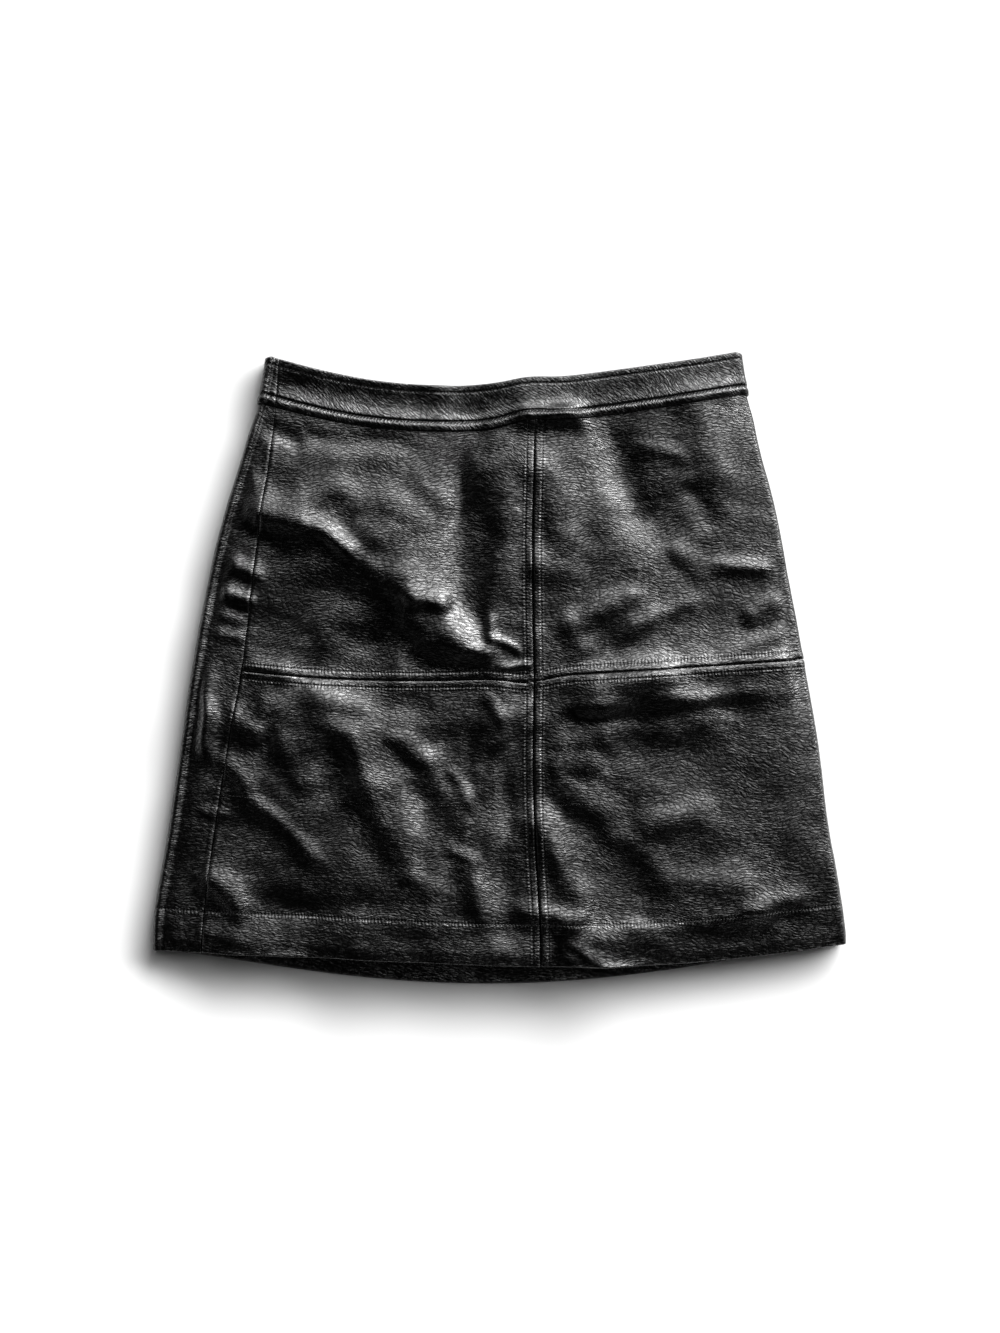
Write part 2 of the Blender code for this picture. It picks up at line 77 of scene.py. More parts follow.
# ---------------- dimensions, looks only
COARSE = 1.9             # side of a facet on open leather
FINE = 0.55              # and beside seams, stitches and edges
FINE_REACH = 9.0
FINE_FADE = 6.0
SAMPLES = 4000           # from which the graded steps are worked out
BACK_COARSE = 4.0
BEND_STEPS = 14
TOP_STITCH = 5.4         # from the waist edge
BAND_STITCH = 7.0        # above the band's lower edge
EDGE_ROUND = 1.2
CREASE_DRIFT = 3.6       # how far the creases wander off their lines
DRIFT_LONG = 38.0        # wavelengths of that drift
DRIFT_SHORT = 16.0
DRIFT_FINE = 0.45        # share of the shorter one
CREASE_FADE = 12.0       # how near the side bends they fade
FOLD_FADE = 30.0         # and the large folds
CREASE_TAPER = 0.28      # share of its length over which a crease's end fades
CREASE_GAIN = 1.4        # on the rises in the table
CREASE_UNEVEN = 0.4      # how much that varies from place to place
STITCH_LENGTH = 2.0
STITCH_GAP = 0.4
THREAD = 0.27            # radius
TOOTH = 2.0              # length of a loop of the zip's coil, across it
TOOTH_PITCH = 0.75
FRONT_RELEASE = 30.0     # on the front, the panels rise from under the band more slowly
SEAM_REACH = 0.7         # half the width of a seam's groove
CENTRE_DEPTH = 0.8
MID_DEPTH = 0.45
ROW_DEPTH = 0.65         # of the groove along a stitch row
ROW_REACH = 0.65
PLAIN_DEPTH = 0.5        # of the seam without stitch rows
PLAIN_REACH = 0.9
PLAIN_ROLL = 0.25        # its edges are rolled up this much
ROLL_ASIDE = 2.2
ROLL_REACH = 1.8
BAND_TILT = 1.2          # the waistband rises towards its upper edge
TILT_REACH = 20.0
BAND_SWELL = 0.55        # and swells above its lower stitch row
BAND_PUFF = 0.85         # and again below it
BAND_SLANT = 0.8         # lean of the puckers on the waistband
LOW_GROOVE = 0.80
TOP_GROOVE = 0.40
TOP_PUFF = 0.22          # swelling above its upper stitch row
TICK = 0.26              # rise of the puckers there
TICK_PITCH = 5.0
TICK_DOWN = 2.8
TICK_REACH = 2.0
BAND_RIPPLE = 0.5        # share of the panels' ripple
ROW_FAR = 50.0           # stands for no stitch row near
HEM_ROLL = 1.5           # the hem turns down at its edge
HEM_PLY = 0.25           # rise of its turned-up ply
HEM_GROOVE = 0.30
HEM_PUCKER = 0.22
HEM_TAPER = 0.55         # share of its thickness the back's hem loses at its edge
SIDE_ROLL = 3.4          # the skirt turns down towards its left bend
SIDE_REACH = 18.0
RIGHT_RISE = 7.5         # it swells towards its lower right bend
RIGHT_REACH = 60.0
RIGHT_FROM = 190.0       # distance down where that begins
RIGHT_FULL = 340.0       # and where it is full
RIGHT_SETTLE = 0.7       # share of it that is gone at the hem
SETTLE_FROM = 370.0
HEM_RISE = 4.4           # the hem's middle stands off the back
HEM_CENTRE = -24.0
HEM_REACH = 105.0
SIDE_PUCKER = 0.45       # puckers beside the left seam, round the hip
SIDE_PUCKER_IN = 9.0
SIDE_PUCKER_DOWN = 155.0
UNDER_CLEAR = 10.0       # how near its sides the underside is plain
UNDER_FADE = 12.0
UNDER_ENDS = 20.0        # and how far from the waistband and the hem it fades
PUCKER_REACH = 3.6       # how far from its row a pucker goes
WRINKLE_LEAN = 0.5       # the fine wrinkles fall more steeply on one side

Ring = namedtuple("Ring", "down left_x left_y right_x right_y front_sag back_sag back_power skew lift crown")
RINGS = (
    Ring(0, -168.0, 223.5, 173.5, 226.0, 22.0, 27.0, 0.8, -3.8, 2.6, 3.3),
    Ring(34, -174.5, 190.0, 179.5, 195.8, 22.5, 27.0, 0.8, -4.0, 3.6, 3.9),
    Ring(75, -185.8, 150.0, 187.6, 155.0, 21.0, 26.0, 0.9, -3.6, 1.8, 4.3),
    Ring(115, -197.7, 111.0, 198.0, 116.0, 19.0, 25.0, 1.0, -3.2, 0.0, 4.6),
    Ring(160, -208.5, 67.0, 206.4, 72.0, 15.5, 24.0, 1.1, -2.8, -2.0, 4.6),
    Ring(226, -220.8, 1.0, 218.7, 5.0, 12.0, 24.0, 1.2, -2.5, -4.0, 4.6),
    Ring(285, -229.3, -57.0, 228.6, -53.0, 12.0, 24.5, 1.3, -0.5, -1.5, 4.6),
    Ring(345, -237.8, -116.0, 235.8, -112.0, 12.0, 25.5, 1.4, 1.5, 0.0, 4.6),
    Ring(404, -247.9, -174.0, 245.7, -170.3, 12.5, 26.5, 1.4, 2.6, 0.0, 4.6),
    Ring(434, -249.8, -204.5, 249.8, -199.4, 12.5, 27.0, 1.4, 3.4, 0.0, 4.6),
)

Seam = namedtuple("Seam", "down left_x centre_x right_in")
SEAMS = (
    Seam(0, -158.4, 25.6, 28.0),
    Seam(34, -161.0, 25.4, 28.0),
    Seam(75, -165.5, 24.6, 24.0),
    Seam(115, -171.5, 23.8, 20.5),
    Seam(160, -176.8, 23.8, 17.5),
    Seam(226, -184.6, 24.8, 16.0),
    Seam(285, -195.0, 24.2, 16.0),
    Seam(345, -204.0, 25.6, 17.5),
    Seam(404, -211.5, 29.0, 19.0),
    Seam(434, -213.8, 29.5, 20.0),
)

Fold = namedtuple("Fold", "x0 y0 x1 y1 width rise")
FOLDS = (
    Fold(-176, 119, -106, 73, 10, 2.2),      # ridge from the left hip inwards
    Fold(-190, 98, -111, 47, 11, -1.6),      # trough below it
    Fold(-68, 63, -21, 12, 11, 2.6),         # belly ridge down to the crossing
    Fold(-93, 40, -50, 4, 10, -1.8),         # trough on its left
    Fold(-3, 190, -8, 19, 9, -2.6),          # long trough left of the centre seam
    Fold(17, 191, 21, 19, 10, 1.2),          # ridge that carries the centre seam
    Fold(80, 173, 137, 73, 14, -2.2),        # trough of the right hip
    Fold(54, 170, 101, 76, 12, 1.0),         # swell beside it
    Fold(-96, -50, -53, -129, 10, 2.6),      # ridge of the lower left panel
    Fold(-111, -89, -71, -154, 11, -2.0),    # trough outside it
    Fold(-21, -53, -32, -147, 10, -2.2),     # trough left of the lower centre seam
    Fold(-7, -118, -3, -200, 9, 1.2),        # swell at the hem's middle
    Fold(73, -68, 145, -118, 16, 1.6),       # swell of the lower right panel
    Fold(44, -82, 101, -161, 13, -1.4),      # trough under it
    Fold(159, -158, 231, -161, 9, 1.2),      # ridge above the right hem
    Fold(202, 47, 145, -53, 14, -1.4),       # trough across the right of the crossing
    Fold(-143, -53, -78, -39, 14, 1.8),      # swell under the left of the crossing
)

Wave = namedtuple("Wave", "rise stretch_x stretch_y length shift")
RIPPLES = (Wave(0.75, 1, 1.3, 34, 1.0), Wave(0.34, 1, 1.4, 17, 2.0), Wave(0.10, 1, 1.5, 8, 4.0),
           Wave(0.04, 0.7, 1.4, 4.5, 4.0))
UNDER_WAVES = (Wave(0.8, 1, 1.3, 34, 1.0), Wave(0.3, 1, 1.4, 17, 2.0))

# Shallow troughs of the underside, which is out of sight: a guess, like the front's.
UNDER_FOLDS = (
    Fold(-165, 130, -95, 78, 8, -1.6),       # from the left hip inwards
    Fold(-178, 92, -120, 50, 6, -1.1),
    Fold(-70, 160, 60, 158, 6, -0.8),        # across, under the waistband
    Fold(-60, 120, -30, 40, 9, -1.3),        # down the middle
    Fold(20, 150, 34, 88, 6, -0.9),
    Fold(-20, 60, -45, -20, 7, -1.0),
    Fold(62, 140, 118, 62, 10, -1.5),        # from the right hip inwards
    Fold(142, 108, 96, 40, 6, -1.0),
    Fold(-150, 10, -90, -6, 6, -0.9),        # across the hips
    Fold(-120, -30, -66, -110, 9, -1.4),     # down to the hem
    Fold(-175, -70, -128, -140, 8, -1.2),
    Fold(-30, -70, -12, -150, 7, -1.0),
    Fold(60, -20, 112, -96, 9, -1.5),
    Fold(150, -30, 190, -104, 8, -1.2),
    Fold(40, -120, 96, -190, 7, -1.1),
    Fold(-100, -160, -60, -205, 7, -0.9),
    Fold(110, -150, 180, -170, 6, -0.8),
)


# Finer creases, by where they lie in the picture: right and down from its upper
# left corner, in steps of PIXEL. The bow and the width are in millimetres, and the
# lean is how much wider one flank is than the other.
PIXEL = 0.72
PICTURE_CENTRE = (499.0, 666.0)
Crease = namedtuple("Crease", "right0 down0 right1 down1 width rise lean bow", defaults=(1, 0))
CREASES = tuple(Crease(*row) for row in (
    # upper left panel
    (232, 507, 330, 527, 7.0, 3.4, 1.3),
    (312, 513, 362, 566, 5.5, 3.3, 1.2, 2),
    (352, 520, 392, 548, 7.0, 1.4),
    (276, 500, 372, 484, 9.0, 2.0),
    (235, 530, 345, 600, 11.0, 0.8),
    (240, 420, 256, 500, 4.0, 1.9),
    (214, 540, 226, 612, 6.0, 1.6),
    (240, 660, 300, 668, 7.0, 1.6),
    (222, 560, 266, 572, 3.6, 2.4),
    (220, 588, 258, 597, 3.4, 2.2),
    (218, 608, 254, 616, 2.5, 1.1),
    (216, 627, 252, 633, 2.5, 0.9),
    (280, 556, 408, 606, 12.0, 1.0, 1.8),
    (352, 554, 424, 606, 7.5, 3.1, 1, -2),
    (380, 570, 452, 578, 7.0, 1.5),
    (376, 486, 440, 528, 8.0, 1.2),
    (350, 474, 446, 590, 15.0, 2.2, 1.2),
    (396, 592, 462, 604, 4.5, 2.8, 2.2, -1),
    (440, 584, 468, 662, 7.0, 1.0),
    (392, 594, 458, 668, 7.0, 2.2, 2.0, -3),
    (368, 636, 500, 650, 9.0, 2.9, 1.3),
    (366, 700, 436, 702, 7.0, -1.2),
    (316, 640, 440, 640, 8.0, -2.6),
    (292, 660, 400, 668, 12.0, -3.0),
    (246, 416, 306, 452, 5.0, -1.5),
    (400, 466, 456, 512, 5.0, 1.0, 1, 2),
    (442, 410, 446, 600, 14.0, -1.5),
    (476, 405, 472, 640, 7.0, -2.8, 1, -11),
    (496, 356, 491, 664, 6.0, 3.8, 1.4),
    (486, 392, 490, 470, 9.0, -2.4),
    (497, 600, 494, 772, 6.0, 1.5),
    (470, 640, 492, 672, 5.0, 1.8),
    (482, 636, 520, 645, 2.4, 1.5),
    (490, 668, 532, 660, 2.4, 1.5),
    (494, 610, 483, 664, 2.6, 2.0),
    # waistband
    (262, 432, 440, 455, 6.0, -1.5, 1, 4),
    (244, 386, 480, 412, 14.0, -2.6, 0.55, 5),
    (460, 346, 464, 432, 10.0, -2.6),
    (508, 421, 592, 415, 6.0, 4.4),
    (660, 404, 752, 386, 8.0, 2.0),
    # lower left panel
    (201, 650, 211, 772, 5.0, 3.4),
    (246, 742, 316, 832, 7.0, 1.2),
    (218, 709, 272, 738, 6.0, 2.8),
    (222, 744, 262, 786, 6.0, 2.4),
    (268, 728, 332, 752, 7.0, 1.8),
    (274, 732, 322, 792, 7.0, 1.8),
    (236, 702, 352, 730, 10.0, 2.5, 1.4, 4),
    (332, 712, 388, 812, 8.0, 3.0, 1, 3),
    (296, 682, 384, 712, 8.0, 2.0),
    (344, 756, 408, 872, 10.0, 2.8, 0.8, 2),
    (388, 722, 434, 776, 4.0, 2.5, 1.3, 3),
    (416, 770, 430, 890, 8.0, -2.4),
    (442, 720, 456, 800, 8.0, -1.6),
    (466, 850, 474, 912, 8.0, 1.6),
    (396, 862, 446, 884, 9.0, 2.4),
    (460, 740, 466, 884, 8.0, 2.2, 0.7, -2),
    (474, 866, 486, 926, 5.0, 1.8),
    (440, 764, 478, 814, 3.0, 1.2, 1, 2),
    (478, 682, 502, 730, 3.2, 1.5),
    (494, 718, 536, 700, 3.2, 1.3),
    (524, 700, 480, 760, 3.5, 1.3, 1, 2),
    (514, 740, 468, 804, 3.5, 1.2, 1, 2),
    (486, 700, 472, 792, 4.0, 1.3),
    (440, 838, 484, 864, 3.0, 1.4),
    (505, 738, 508, 884, 4.0, -0.7),
    (240, 906, 416, 908, 9.0, -2.0),
    (232, 772, 334, 878, 5.5, 2.5, 1, 2),
    (195, 802, 238, 808, 3.0, 0.9),
    (196, 850, 256, 900, 11.0, 1.6),
    (198, 868, 250, 922, 6.0, 2.8, 1.2, 3),
    (192, 926, 284, 948, 6.0, 2.2, 1.4),
    # upper right panel
    (536, 470, 545, 560, 7.0, -1.2),
    (502, 466, 512, 580, 9.0, 1.5),
    (524, 430, 582, 572, 11.0, 2.8, 1.2, -3),
    (605, 414, 646, 552, 10.0, -3.5, 1, -2),
    (686, 392, 716, 500, 10.0, 1.9, 1, 4),
    (686, 476, 712, 536, 6.5, -1.8),
    (616, 440, 692, 458, 4.0, 1.1),
    (662, 538, 716, 584, 6.5, 1.8, 1, 2),
    (734, 620, 794, 596, 5.0, 2.4),
    (700, 566, 780, 566, 4.5, 1.6),
    (520, 560, 590, 578, 7.0, 2.1),
    (580, 612, 670, 622, 8.0, 1.6),
    (566, 632, 650, 588, 5.0, 2.2, 1, 2),
    (610, 648, 710, 590, 5.0, 2.0, 1, 2),
    (712, 656, 802, 623, 4.5, 1.6, 1, 2),
    (552, 608, 588, 660, 7.0, 2.2),
    (520, 692, 850, 658, 17.0, 4.6, 0.65),
    (556, 692, 684, 672, 9.0, 2.2),
    (548, 706, 796, 692, 5.0, 2.3),
    (570, 728, 760, 716, 7.0, 2.0),
    (536, 744, 624, 736, 8.0, 2.0),
    # lower right panel
    (536, 762, 606, 768, 7.0, 2.0),
    (636, 886, 748, 868, 7.0, 1.8),
    (548, 908, 590, 940, 6.0, 1.8),
    (504, 734, 644, 694, 5.0, 1.7, 1.4, 3),
    (518, 752, 568, 790, 8.0, 1.6),
    (524, 798, 590, 914, 8.0, 3.6),
    (624, 828, 724, 798, 8.0, 2.6),
    (537, 770, 674, 878, 8.0, 2.6, 1, 3),
    (640, 902, 768, 886, 7.0, 2.0),
    (640, 918, 776, 910, 7.0, 2.4),
    (706, 914, 816, 896, 6.0, 2.5, 1, 2),
    (508, 902, 600, 916, 6.0, 2.9),
    (290, 908, 486, 920, 10.0, 1.4, 4),
    (336, 952, 424, 956, 12.0, 2.4),
    (206, 958, 318, 962, 6.0, 2.8),
    (570, 934, 682, 940, 6.0, 2.5),
    (612, 924, 690, 926, 4.0, 1.4),
    (566, 957, 646, 961, 4.0, 1.8),
    (548, 932, 634, 968, 5.0, 2.6),
    (504, 846, 506, 950, 8.0, -1.8),
))


# ---------------- small tools
def ease(t):
    t = np.clip(t, 0.0, 1.0)
    return t * t * (3 - 2 * t)


def bell(distance, width):
    return np.exp(-((distance / width) ** 2))


def interpolate(rows, column, down):
    """Smooth cubic through a column of a table, at an array of distances."""
    downs = np.array([row.down for row in rows], dtype=float)
    values = np.array([getattr(row, column) for row in rows], dtype=float)
    low = np.maximum(np.arange(len(rows)) - 1, 0)
    high = np.minimum(np.arange(len(rows)) + 1, len(rows) - 1)
    slopes = (values[high] - values[low]) / (downs[high] - downs[low])
    index = np.clip(np.searchsorted(downs, down) - 1, 0, len(rows) - 2)
    span = downs[index + 1] - downs[index]
    t = (down - downs[index]) / span
    return (
        values[index] * (2 * t**3 - 3 * t**2 + 1)
        + slopes[index] * span * (t**3 - 2 * t**2 + t)
        + values[index + 1] * (3 * t**2 - 2 * t**3)
        + slopes[index + 1] * span * (t**3 - t**2)
    )


def ring(column, down):
    return interpolate(RINGS, column, down)


def seam(column, down):
    return interpolate(SEAMS, column, down)


NOISE_SIZE = 64
NOISE = np.random.RandomState(11).uniform(-1, 1, (NOISE_SIZE, NOISE_SIZE))


def noise(x, y, wavelength, shift=0.0):
    """Smooth noise from -1 to 1, with features about one wavelength wide. Each
    shift gives another pattern."""
    x = np.asarray(x, dtype=float) / wavelength + shift + 1000.0
    y = np.asarray(y, dtype=float) / wavelength + 1.7 * shift + 1000.0
    x0, y0 = np.floor(x).astype(int), np.floor(y).astype(int)
    u, v = ease(x - x0), ease(y - y0)
    x1, y1 = (x0 + 1) % NOISE_SIZE, (y0 + 1) % NOISE_SIZE
    x0, y0 = x0 % NOISE_SIZE, y0 % NOISE_SIZE
    top = NOISE[y0, x0] * (1 - u) + NOISE[y0, x1] * u
    bottom = NOISE[y1, x0] * (1 - u) + NOISE[y1, x1] * u
    return top * (1 - v) + bottom * v


def waves(x, y, rows):
    return sum(wave.rise * noise(x * wave.stretch_x, y * wave.stretch_y, wave.length, wave.shift)
               for wave in rows)


# ---------------- the skin
def front_y(x, down):
    left, right = ring("left_x", down), ring("right_x", down)
    u = (x - left) / (right - left)
    chord = ring("left_y", down) * (1 - u) + ring("right_y", down) * u
    sag = ring("front_sag", down) * 4 * u * (1 - u)
    lift = ring("lift", down) * bell(x - LIFT_CENTRE, LIFT_WIDTH)
    return chord - sag + ring("skew", down) * np.sin(2 * np.pi * u) + lift


def back_y(x, down):
    left, right = ring("left_x", down), ring("right_x", down)
    u = np.clip((x - left) / (right - left), 0, 1)
    chord = ring("left_y", down) * (1 - u) + ring("right_y", down) * u
    return chord - ring("back_sag", down) * (4 * u * (1 - u)) ** ring("back_power", down)


def fold_height(x, y, folds):
    """Sum of soft ridges and troughs at points of the front."""
    total = np.zeros(np.broadcast(x, y).shape)
    for fold in folds:
        run_x, run_y = fold.x1 - fold.x0, fold.y1 - fold.y0
        along = ((x - fold.x0) * run_x + (y - fold.y0) * run_y) / (run_x**2 + run_y**2)
        along = np.clip(along, 0, 1)
        miss = (x - fold.x0 - along * run_x) ** 2 + (y - fold.y0 - along * run_y) ** 2
        total += fold.rise * np.exp(-miss / (2 * fold.width**2))
    return total


def crease_height(x, y):
    """Sum of the creases, each eased out towards its two ends."""
    total = np.zeros(np.broadcast(x, y).shape)
    shift_x = CREASE_DRIFT * (noise(x, y, DRIFT_LONG, 3.0) + DRIFT_FINE * noise(x, y, DRIFT_SHORT, 6.0))
    shift_y = CREASE_DRIFT * (noise(x, y, DRIFT_LONG, 8.0) + DRIFT_FINE * noise(x, y, DRIFT_SHORT, 9.0))
    uneven = CREASE_GAIN * (1 + CREASE_UNEVEN * noise(x, y, 24, 12.0))
    x, y = x + shift_x, y + shift_y + TO_CENTRE
    for crease in CREASES:
        start_x = (crease.right0 - PICTURE_CENTRE[0]) * PIXEL
        start_y = (PICTURE_CENTRE[1] - crease.down0) * PIXEL
        run_x = (crease.right1 - crease.right0) * PIXEL
        run_y = (crease.down0 - crease.down1) * PIXEL
        length = math.hypot(run_x, run_y)
        along = ((x - start_x) * run_x + (y - start_y) * run_y) / length**2
        aside = ((y - start_y) * run_x - (x - start_x) * run_y) / length
        aside = aside - crease.bow * 4 * along * (1 - along)
        taper = ease((0.5 - np.abs(along - 0.5)) / CREASE_TAPER)
        width = np.where(aside > 0, crease.width * crease.lean, crease.width)
        total += crease.rise * taper * np.exp(-(aside**2) / (2 * width**2))
    return total * uneven


def top_height(x, y, down):
    left, right = ring("left_x", down), ring("right_x", down)
    u = (x - left) / (right - left)
    crown = ring("crown", down) * (1 - np.abs(2 * u - 1) ** 4)
    from_edge = np.minimum(x - left, right - x)
    folds = fold_height(x, y, FOLDS) * ease((from_edge - BEND_RADIUS) / FOLD_FADE)
    creases = crease_height(x, y) * ease((from_edge - BEND_RADIUS) / CREASE_FADE)
    side_roll = SIDE_ROLL * (1 - ease((x - left) / SIDE_REACH)) * ease((x - left - BEND_RADIUS) / 3.0)
    hem_rise = HEM_RISE * bell(x - HEM_CENTRE, HEM_REACH) * ease((down - MID_SEAM) / (HEM - MID_SEAM))
    grown = ease((down - RIGHT_FROM) / (RIGHT_FULL - RIGHT_FROM))
    right_rise = RIGHT_RISE * bell(right - x, RIGHT_REACH) * grown
    right_rise = right_rise * (1 - RIGHT_SETTLE * ease((down - SETTLE_FROM) / (HEM - SETTLE_FROM)))
    return 2 * BEND_RADIUS + crown + folds + creases - side_roll + right_rise + hem_rise


def zip_seam_x(down):
    return ring("right_x", down) - seam("right_in", down)


def recess(x, down):
    aside = np.abs(x - zip_seam_x(down))
    across = 1 - ease((aside - RECESS_FLAT) / (RECESS_REACH - RECESS_FLAT))
    along = 1 - ease((down - RECESS_LENGTH) / RECESS_FADE)
    return RECESS_RISE * across * along


def zone_ends(zone, down):
    """X where a zone of the ring begins and ends, going round the tube."""
    left_bend = ring("left_x", down) + BEND_RADIUS
    right_bend = ring("right_x", down) - BEND_RADIUS
    left_seam, centre_seam = seam("left_x", down), seam("centre_x", down)
    return {
        "strip": (left_bend, left_seam - GAP / 2),
        "left": (left_seam + GAP / 2, centre_seam - GAP / 2),
        "right": (centre_seam + GAP / 2, right_bend),
        "front": (left_seam + GAP / 2, right_bend),
        "under": (right_bend, zip_seam_x(down) + GAP / 2),
        "back": (zip_seam_x(down) - GAP / 2, left_bend),
    }[zone]


Place = namedtuple("Place", "x y z nx ny nz cut_x cut_y front")


def skin(zone, share, down):
    """Places on the plain skin: point, outward direction, place in the unrolled
    cloth, and how far the place belongs to the front (0 on the underside)."""
    share, down = np.broadcast_arrays(np.asarray(share, float), np.asarray(down, float))
    zero, one = np.zeros(share.shape), np.ones(share.shape)
    arc = math.pi * BEND_RADIUS
    if zone in ("right_bend", "left_bend"):
        right = zone == "right_bend"
        angle = math.pi * ((0.5 - share) if right else (1.5 - share))
        edge = ring("right_x" if right else "left_x", down)
        x_centre = edge - BEND_RADIUS if right else edge + BEND_RADIUS
        y_top, y_under = front_y(x_centre, down), back_y(x_centre, down)
        half = top_height(x_centre, y_top, down) / 2
        to_under = share if right else 1 - share
        x = x_centre + BEND_RADIUS * np.cos(angle)
        y = y_top * (1 - to_under) + y_under * to_under
        z = half + half * np.sin(angle)
        cut_x = x_centre + arc * to_under * (1 if right else -1)
        return Place(x, y, z, np.cos(angle), zero, np.sin(angle), cut_x, y, 1 - to_under)
    start, end = zone_ends(zone, down)
    x = start + (end - start) * share
    if zone in ("under", "back"):
        y = back_y(x, down)
        unrolled = 2 * (ring("right_x", down) - BEND_RADIUS) + arc - x
        return Place(x, y, recess(x, down), zero, zero, -one, unrolled, y, zero)
    y = front_y(x, down)
    return Place(x, y, top_height(x, y, down), zero, zero, one, x, y, one)


def joined(places):
    return Place(*(np.concatenate(parts, axis=-1) for parts in zip(*places)))


# ---------------- relief
def clear_of_band(place, down):
    """How far the panels have risen to the skin from under the band, 0 to 1."""
    release = LAP_RELEASE + (FRONT_RELEASE - LAP_RELEASE) * place.front
    return ease((down - BAND_BOTTOM) / release)


def under_band(place, down):
    return -(BAND_PLY + GAP) * (1 - clear_of_band(place, down))


def seam_relief(distance, depth):
    """A pressed-open seam: rolled edges, a raised strip, and a stitch groove."""
    s = np.abs(distance)
    strip = STRIP_RISE * ease((s + 0.6) / 2.6) * (1 - ease((s - STRIP + 0.8) / (STRIP_EDGE + 1.6)))
    return strip - depth * bell(s, SEAM_REACH) - ROW_DEPTH * bell(s - STRIP, ROW_REACH)


def plain_seam(distance, along):
    s = np.abs(distance)
    uneven = 0.6 + noise(along, distance * 0.2, 7.0, 3.0)
    return -PLAIN_DEPTH * bell(s, PLAIN_REACH) + PLAIN_ROLL * bell(s - ROLL_ASIDE, ROLL_REACH) * uneven


def left_seam(place, down):
    return plain_seam(place.x - seam("left_x", down), down) * (place.front > 0.999)


def rounded(distance, radius):
    """Fall of an edge that is rounded over, at a distance from the edge."""
    t = np.clip(1 - distance / radius, 0, 1)
    return -radius * (1 - np.sqrt(np.maximum(1 - t * t, 0)))


def hem_relief(place, down):
    """The turned-up ply, its stitch groove, and uneven puckers along it."""
    from_stitch = down - HEM_STITCH
    ply = HEM_PLY * ease((from_stitch + 3.0) / 9.0) - HEM_GROOVE * bell(from_stitch, 0.8)
    ply = ply - HEM_ROLL * ease((down - HEM + 10.0) / 12.0)
    return ply + HEM_PUCKER * bell(from_stitch, 6.0) * noise(place.cut_x, down * 0.4, 9.0, 7.0)


def ripple(place):
    """Uneven lie of the leather, between its folds."""
    return waves(place.cut_x, place.cut_y, RIPPLES) * place.front


def panel_relief(place, down):
    """Out of the skin, for a front panel."""
    centre = place.x - seam("centre_x", down)
    flat = place.front * clear_of_band(place, down)
    centre_seam = seam_relief(centre, CENTRE_DEPTH) * (place.front > 0.999)
    mid_seam = seam_relief(down - MID_SEAM, MID_DEPTH)
    cross = np.where(np.abs(centre_seam) > np.abs(mid_seam), centre_seam, mid_seam)
    relief = cross + left_seam(place, down) + hem_relief(place, down) + ripple(place)
    return under_band(place, down) + flat * relief


def underside(place, down):
    """Creases of the side it lies on: all of them are pressed inwards."""
    x = place.x + CREASE_DRIFT * noise(place.x, place.y, DRIFT_LONG, 3.0)
    y = place.y + CREASE_DRIFT * noise(place.x, place.y, DRIFT_LONG, 8.0)
    inwards = fold_height(x, y, UNDER_FOLDS) + np.minimum(waves(x, y, UNDER_WAVES), 0)
    from_side = np.minimum(place.x - ring("left_x", down), zip_seam_x(down) - place.x)
    fade = ease((from_side - UNDER_CLEAR) / UNDER_FADE) * ease((down - BAND_BOTTOM - 3.0) / UNDER_ENDS)
    return inwards * fade * ease((HEM - down) / UNDER_ENDS) * (place.nz < -0.999)


def back_relief(place, down):
    flat = place.front * clear_of_band(place, down)
    side = place.x - seam("left_x", down)
    puckers = SIDE_PUCKER * bell(side + SIDE_PUCKER_IN, 8) * bell(down - SIDE_PUCKER_DOWN, 60)
    puckers = puckers * noise(down, side * 0.3, 9.0, 9.0)
    front = flat * (left_seam(place, down) + puckers + hem_relief(place, down) + ripple(place))
    return under_band(place, down) + front + underside(place, down)


def band_relief(place, down):
    low = down - (BAND_BOTTOM - BAND_STITCH)
    tilt = BAND_TILT * (1 - ease(down / TILT_REACH))
    swell = BAND_SWELL * bell(np.minimum(low + 1.5, 0), 5.0) * (1 - ease((low + 1.5) / 1.5))
    low_strip = BAND_PUFF * ease(low / 3.2) * (1 - ease((low - 3.0) / (BAND_STITCH - 3.0)))
    top_strip = TOP_PUFF * np.sin(np.pi * np.clip(down / TOP_STITCH, 0, 1)) ** 0.7
    grooves = -LOW_GROOVE * bell(low, 0.9) - TOP_GROOVE * bell(down - TOP_STITCH, 0.8)
    phase = (place.cut_x + BAND_SLANT * down) / TICK_PITCH
    phase = phase + 0.6 * noise(place.cut_x, down * 0.2, 11.0, 5.0)
    ticks = TICK * bell(down - TICK_DOWN, TICK_REACH) * np.sin(2 * np.pi * phase)
    relief = tilt + swell + low_strip + top_strip + grooves + ticks + left_seam(place, down)
    return place.front * (relief + BAND_RIPPLE * ripple(place))


def panel_rows(place, down):
    """How far each place is from the stitch rows down and round the skirt, and
    where it lies along the rows that go round."""
    aside = np.abs(place.x - seam("centre_x", down)) - STRIP
    aside = np.where(place.front > 0.999, aside, ROW_FAR)
    to_mid = np.abs(down - MID_SEAM) - STRIP
    to_hem = down - HEM_STITCH
    return aside, np.where(np.abs(to_mid) < np.abs(to_hem), to_mid, to_hem), place.cut_x


def back_rows(place, down):
    far = np.full(place.x.shape, ROW_FAR)
    return far, down - HEM_STITCH, place.cut_x


def band_rows(place, down):
    far = np.full(place.x.shape, ROW_FAR)
    to_top, to_low = down - TOP_STITCH, down - (BAND_BOTTOM - BAND_STITCH)
    return far, np.where(np.abs(to_top) < np.abs(to_low), to_top, to_low), place.cut_x + BAND_SLANT * down


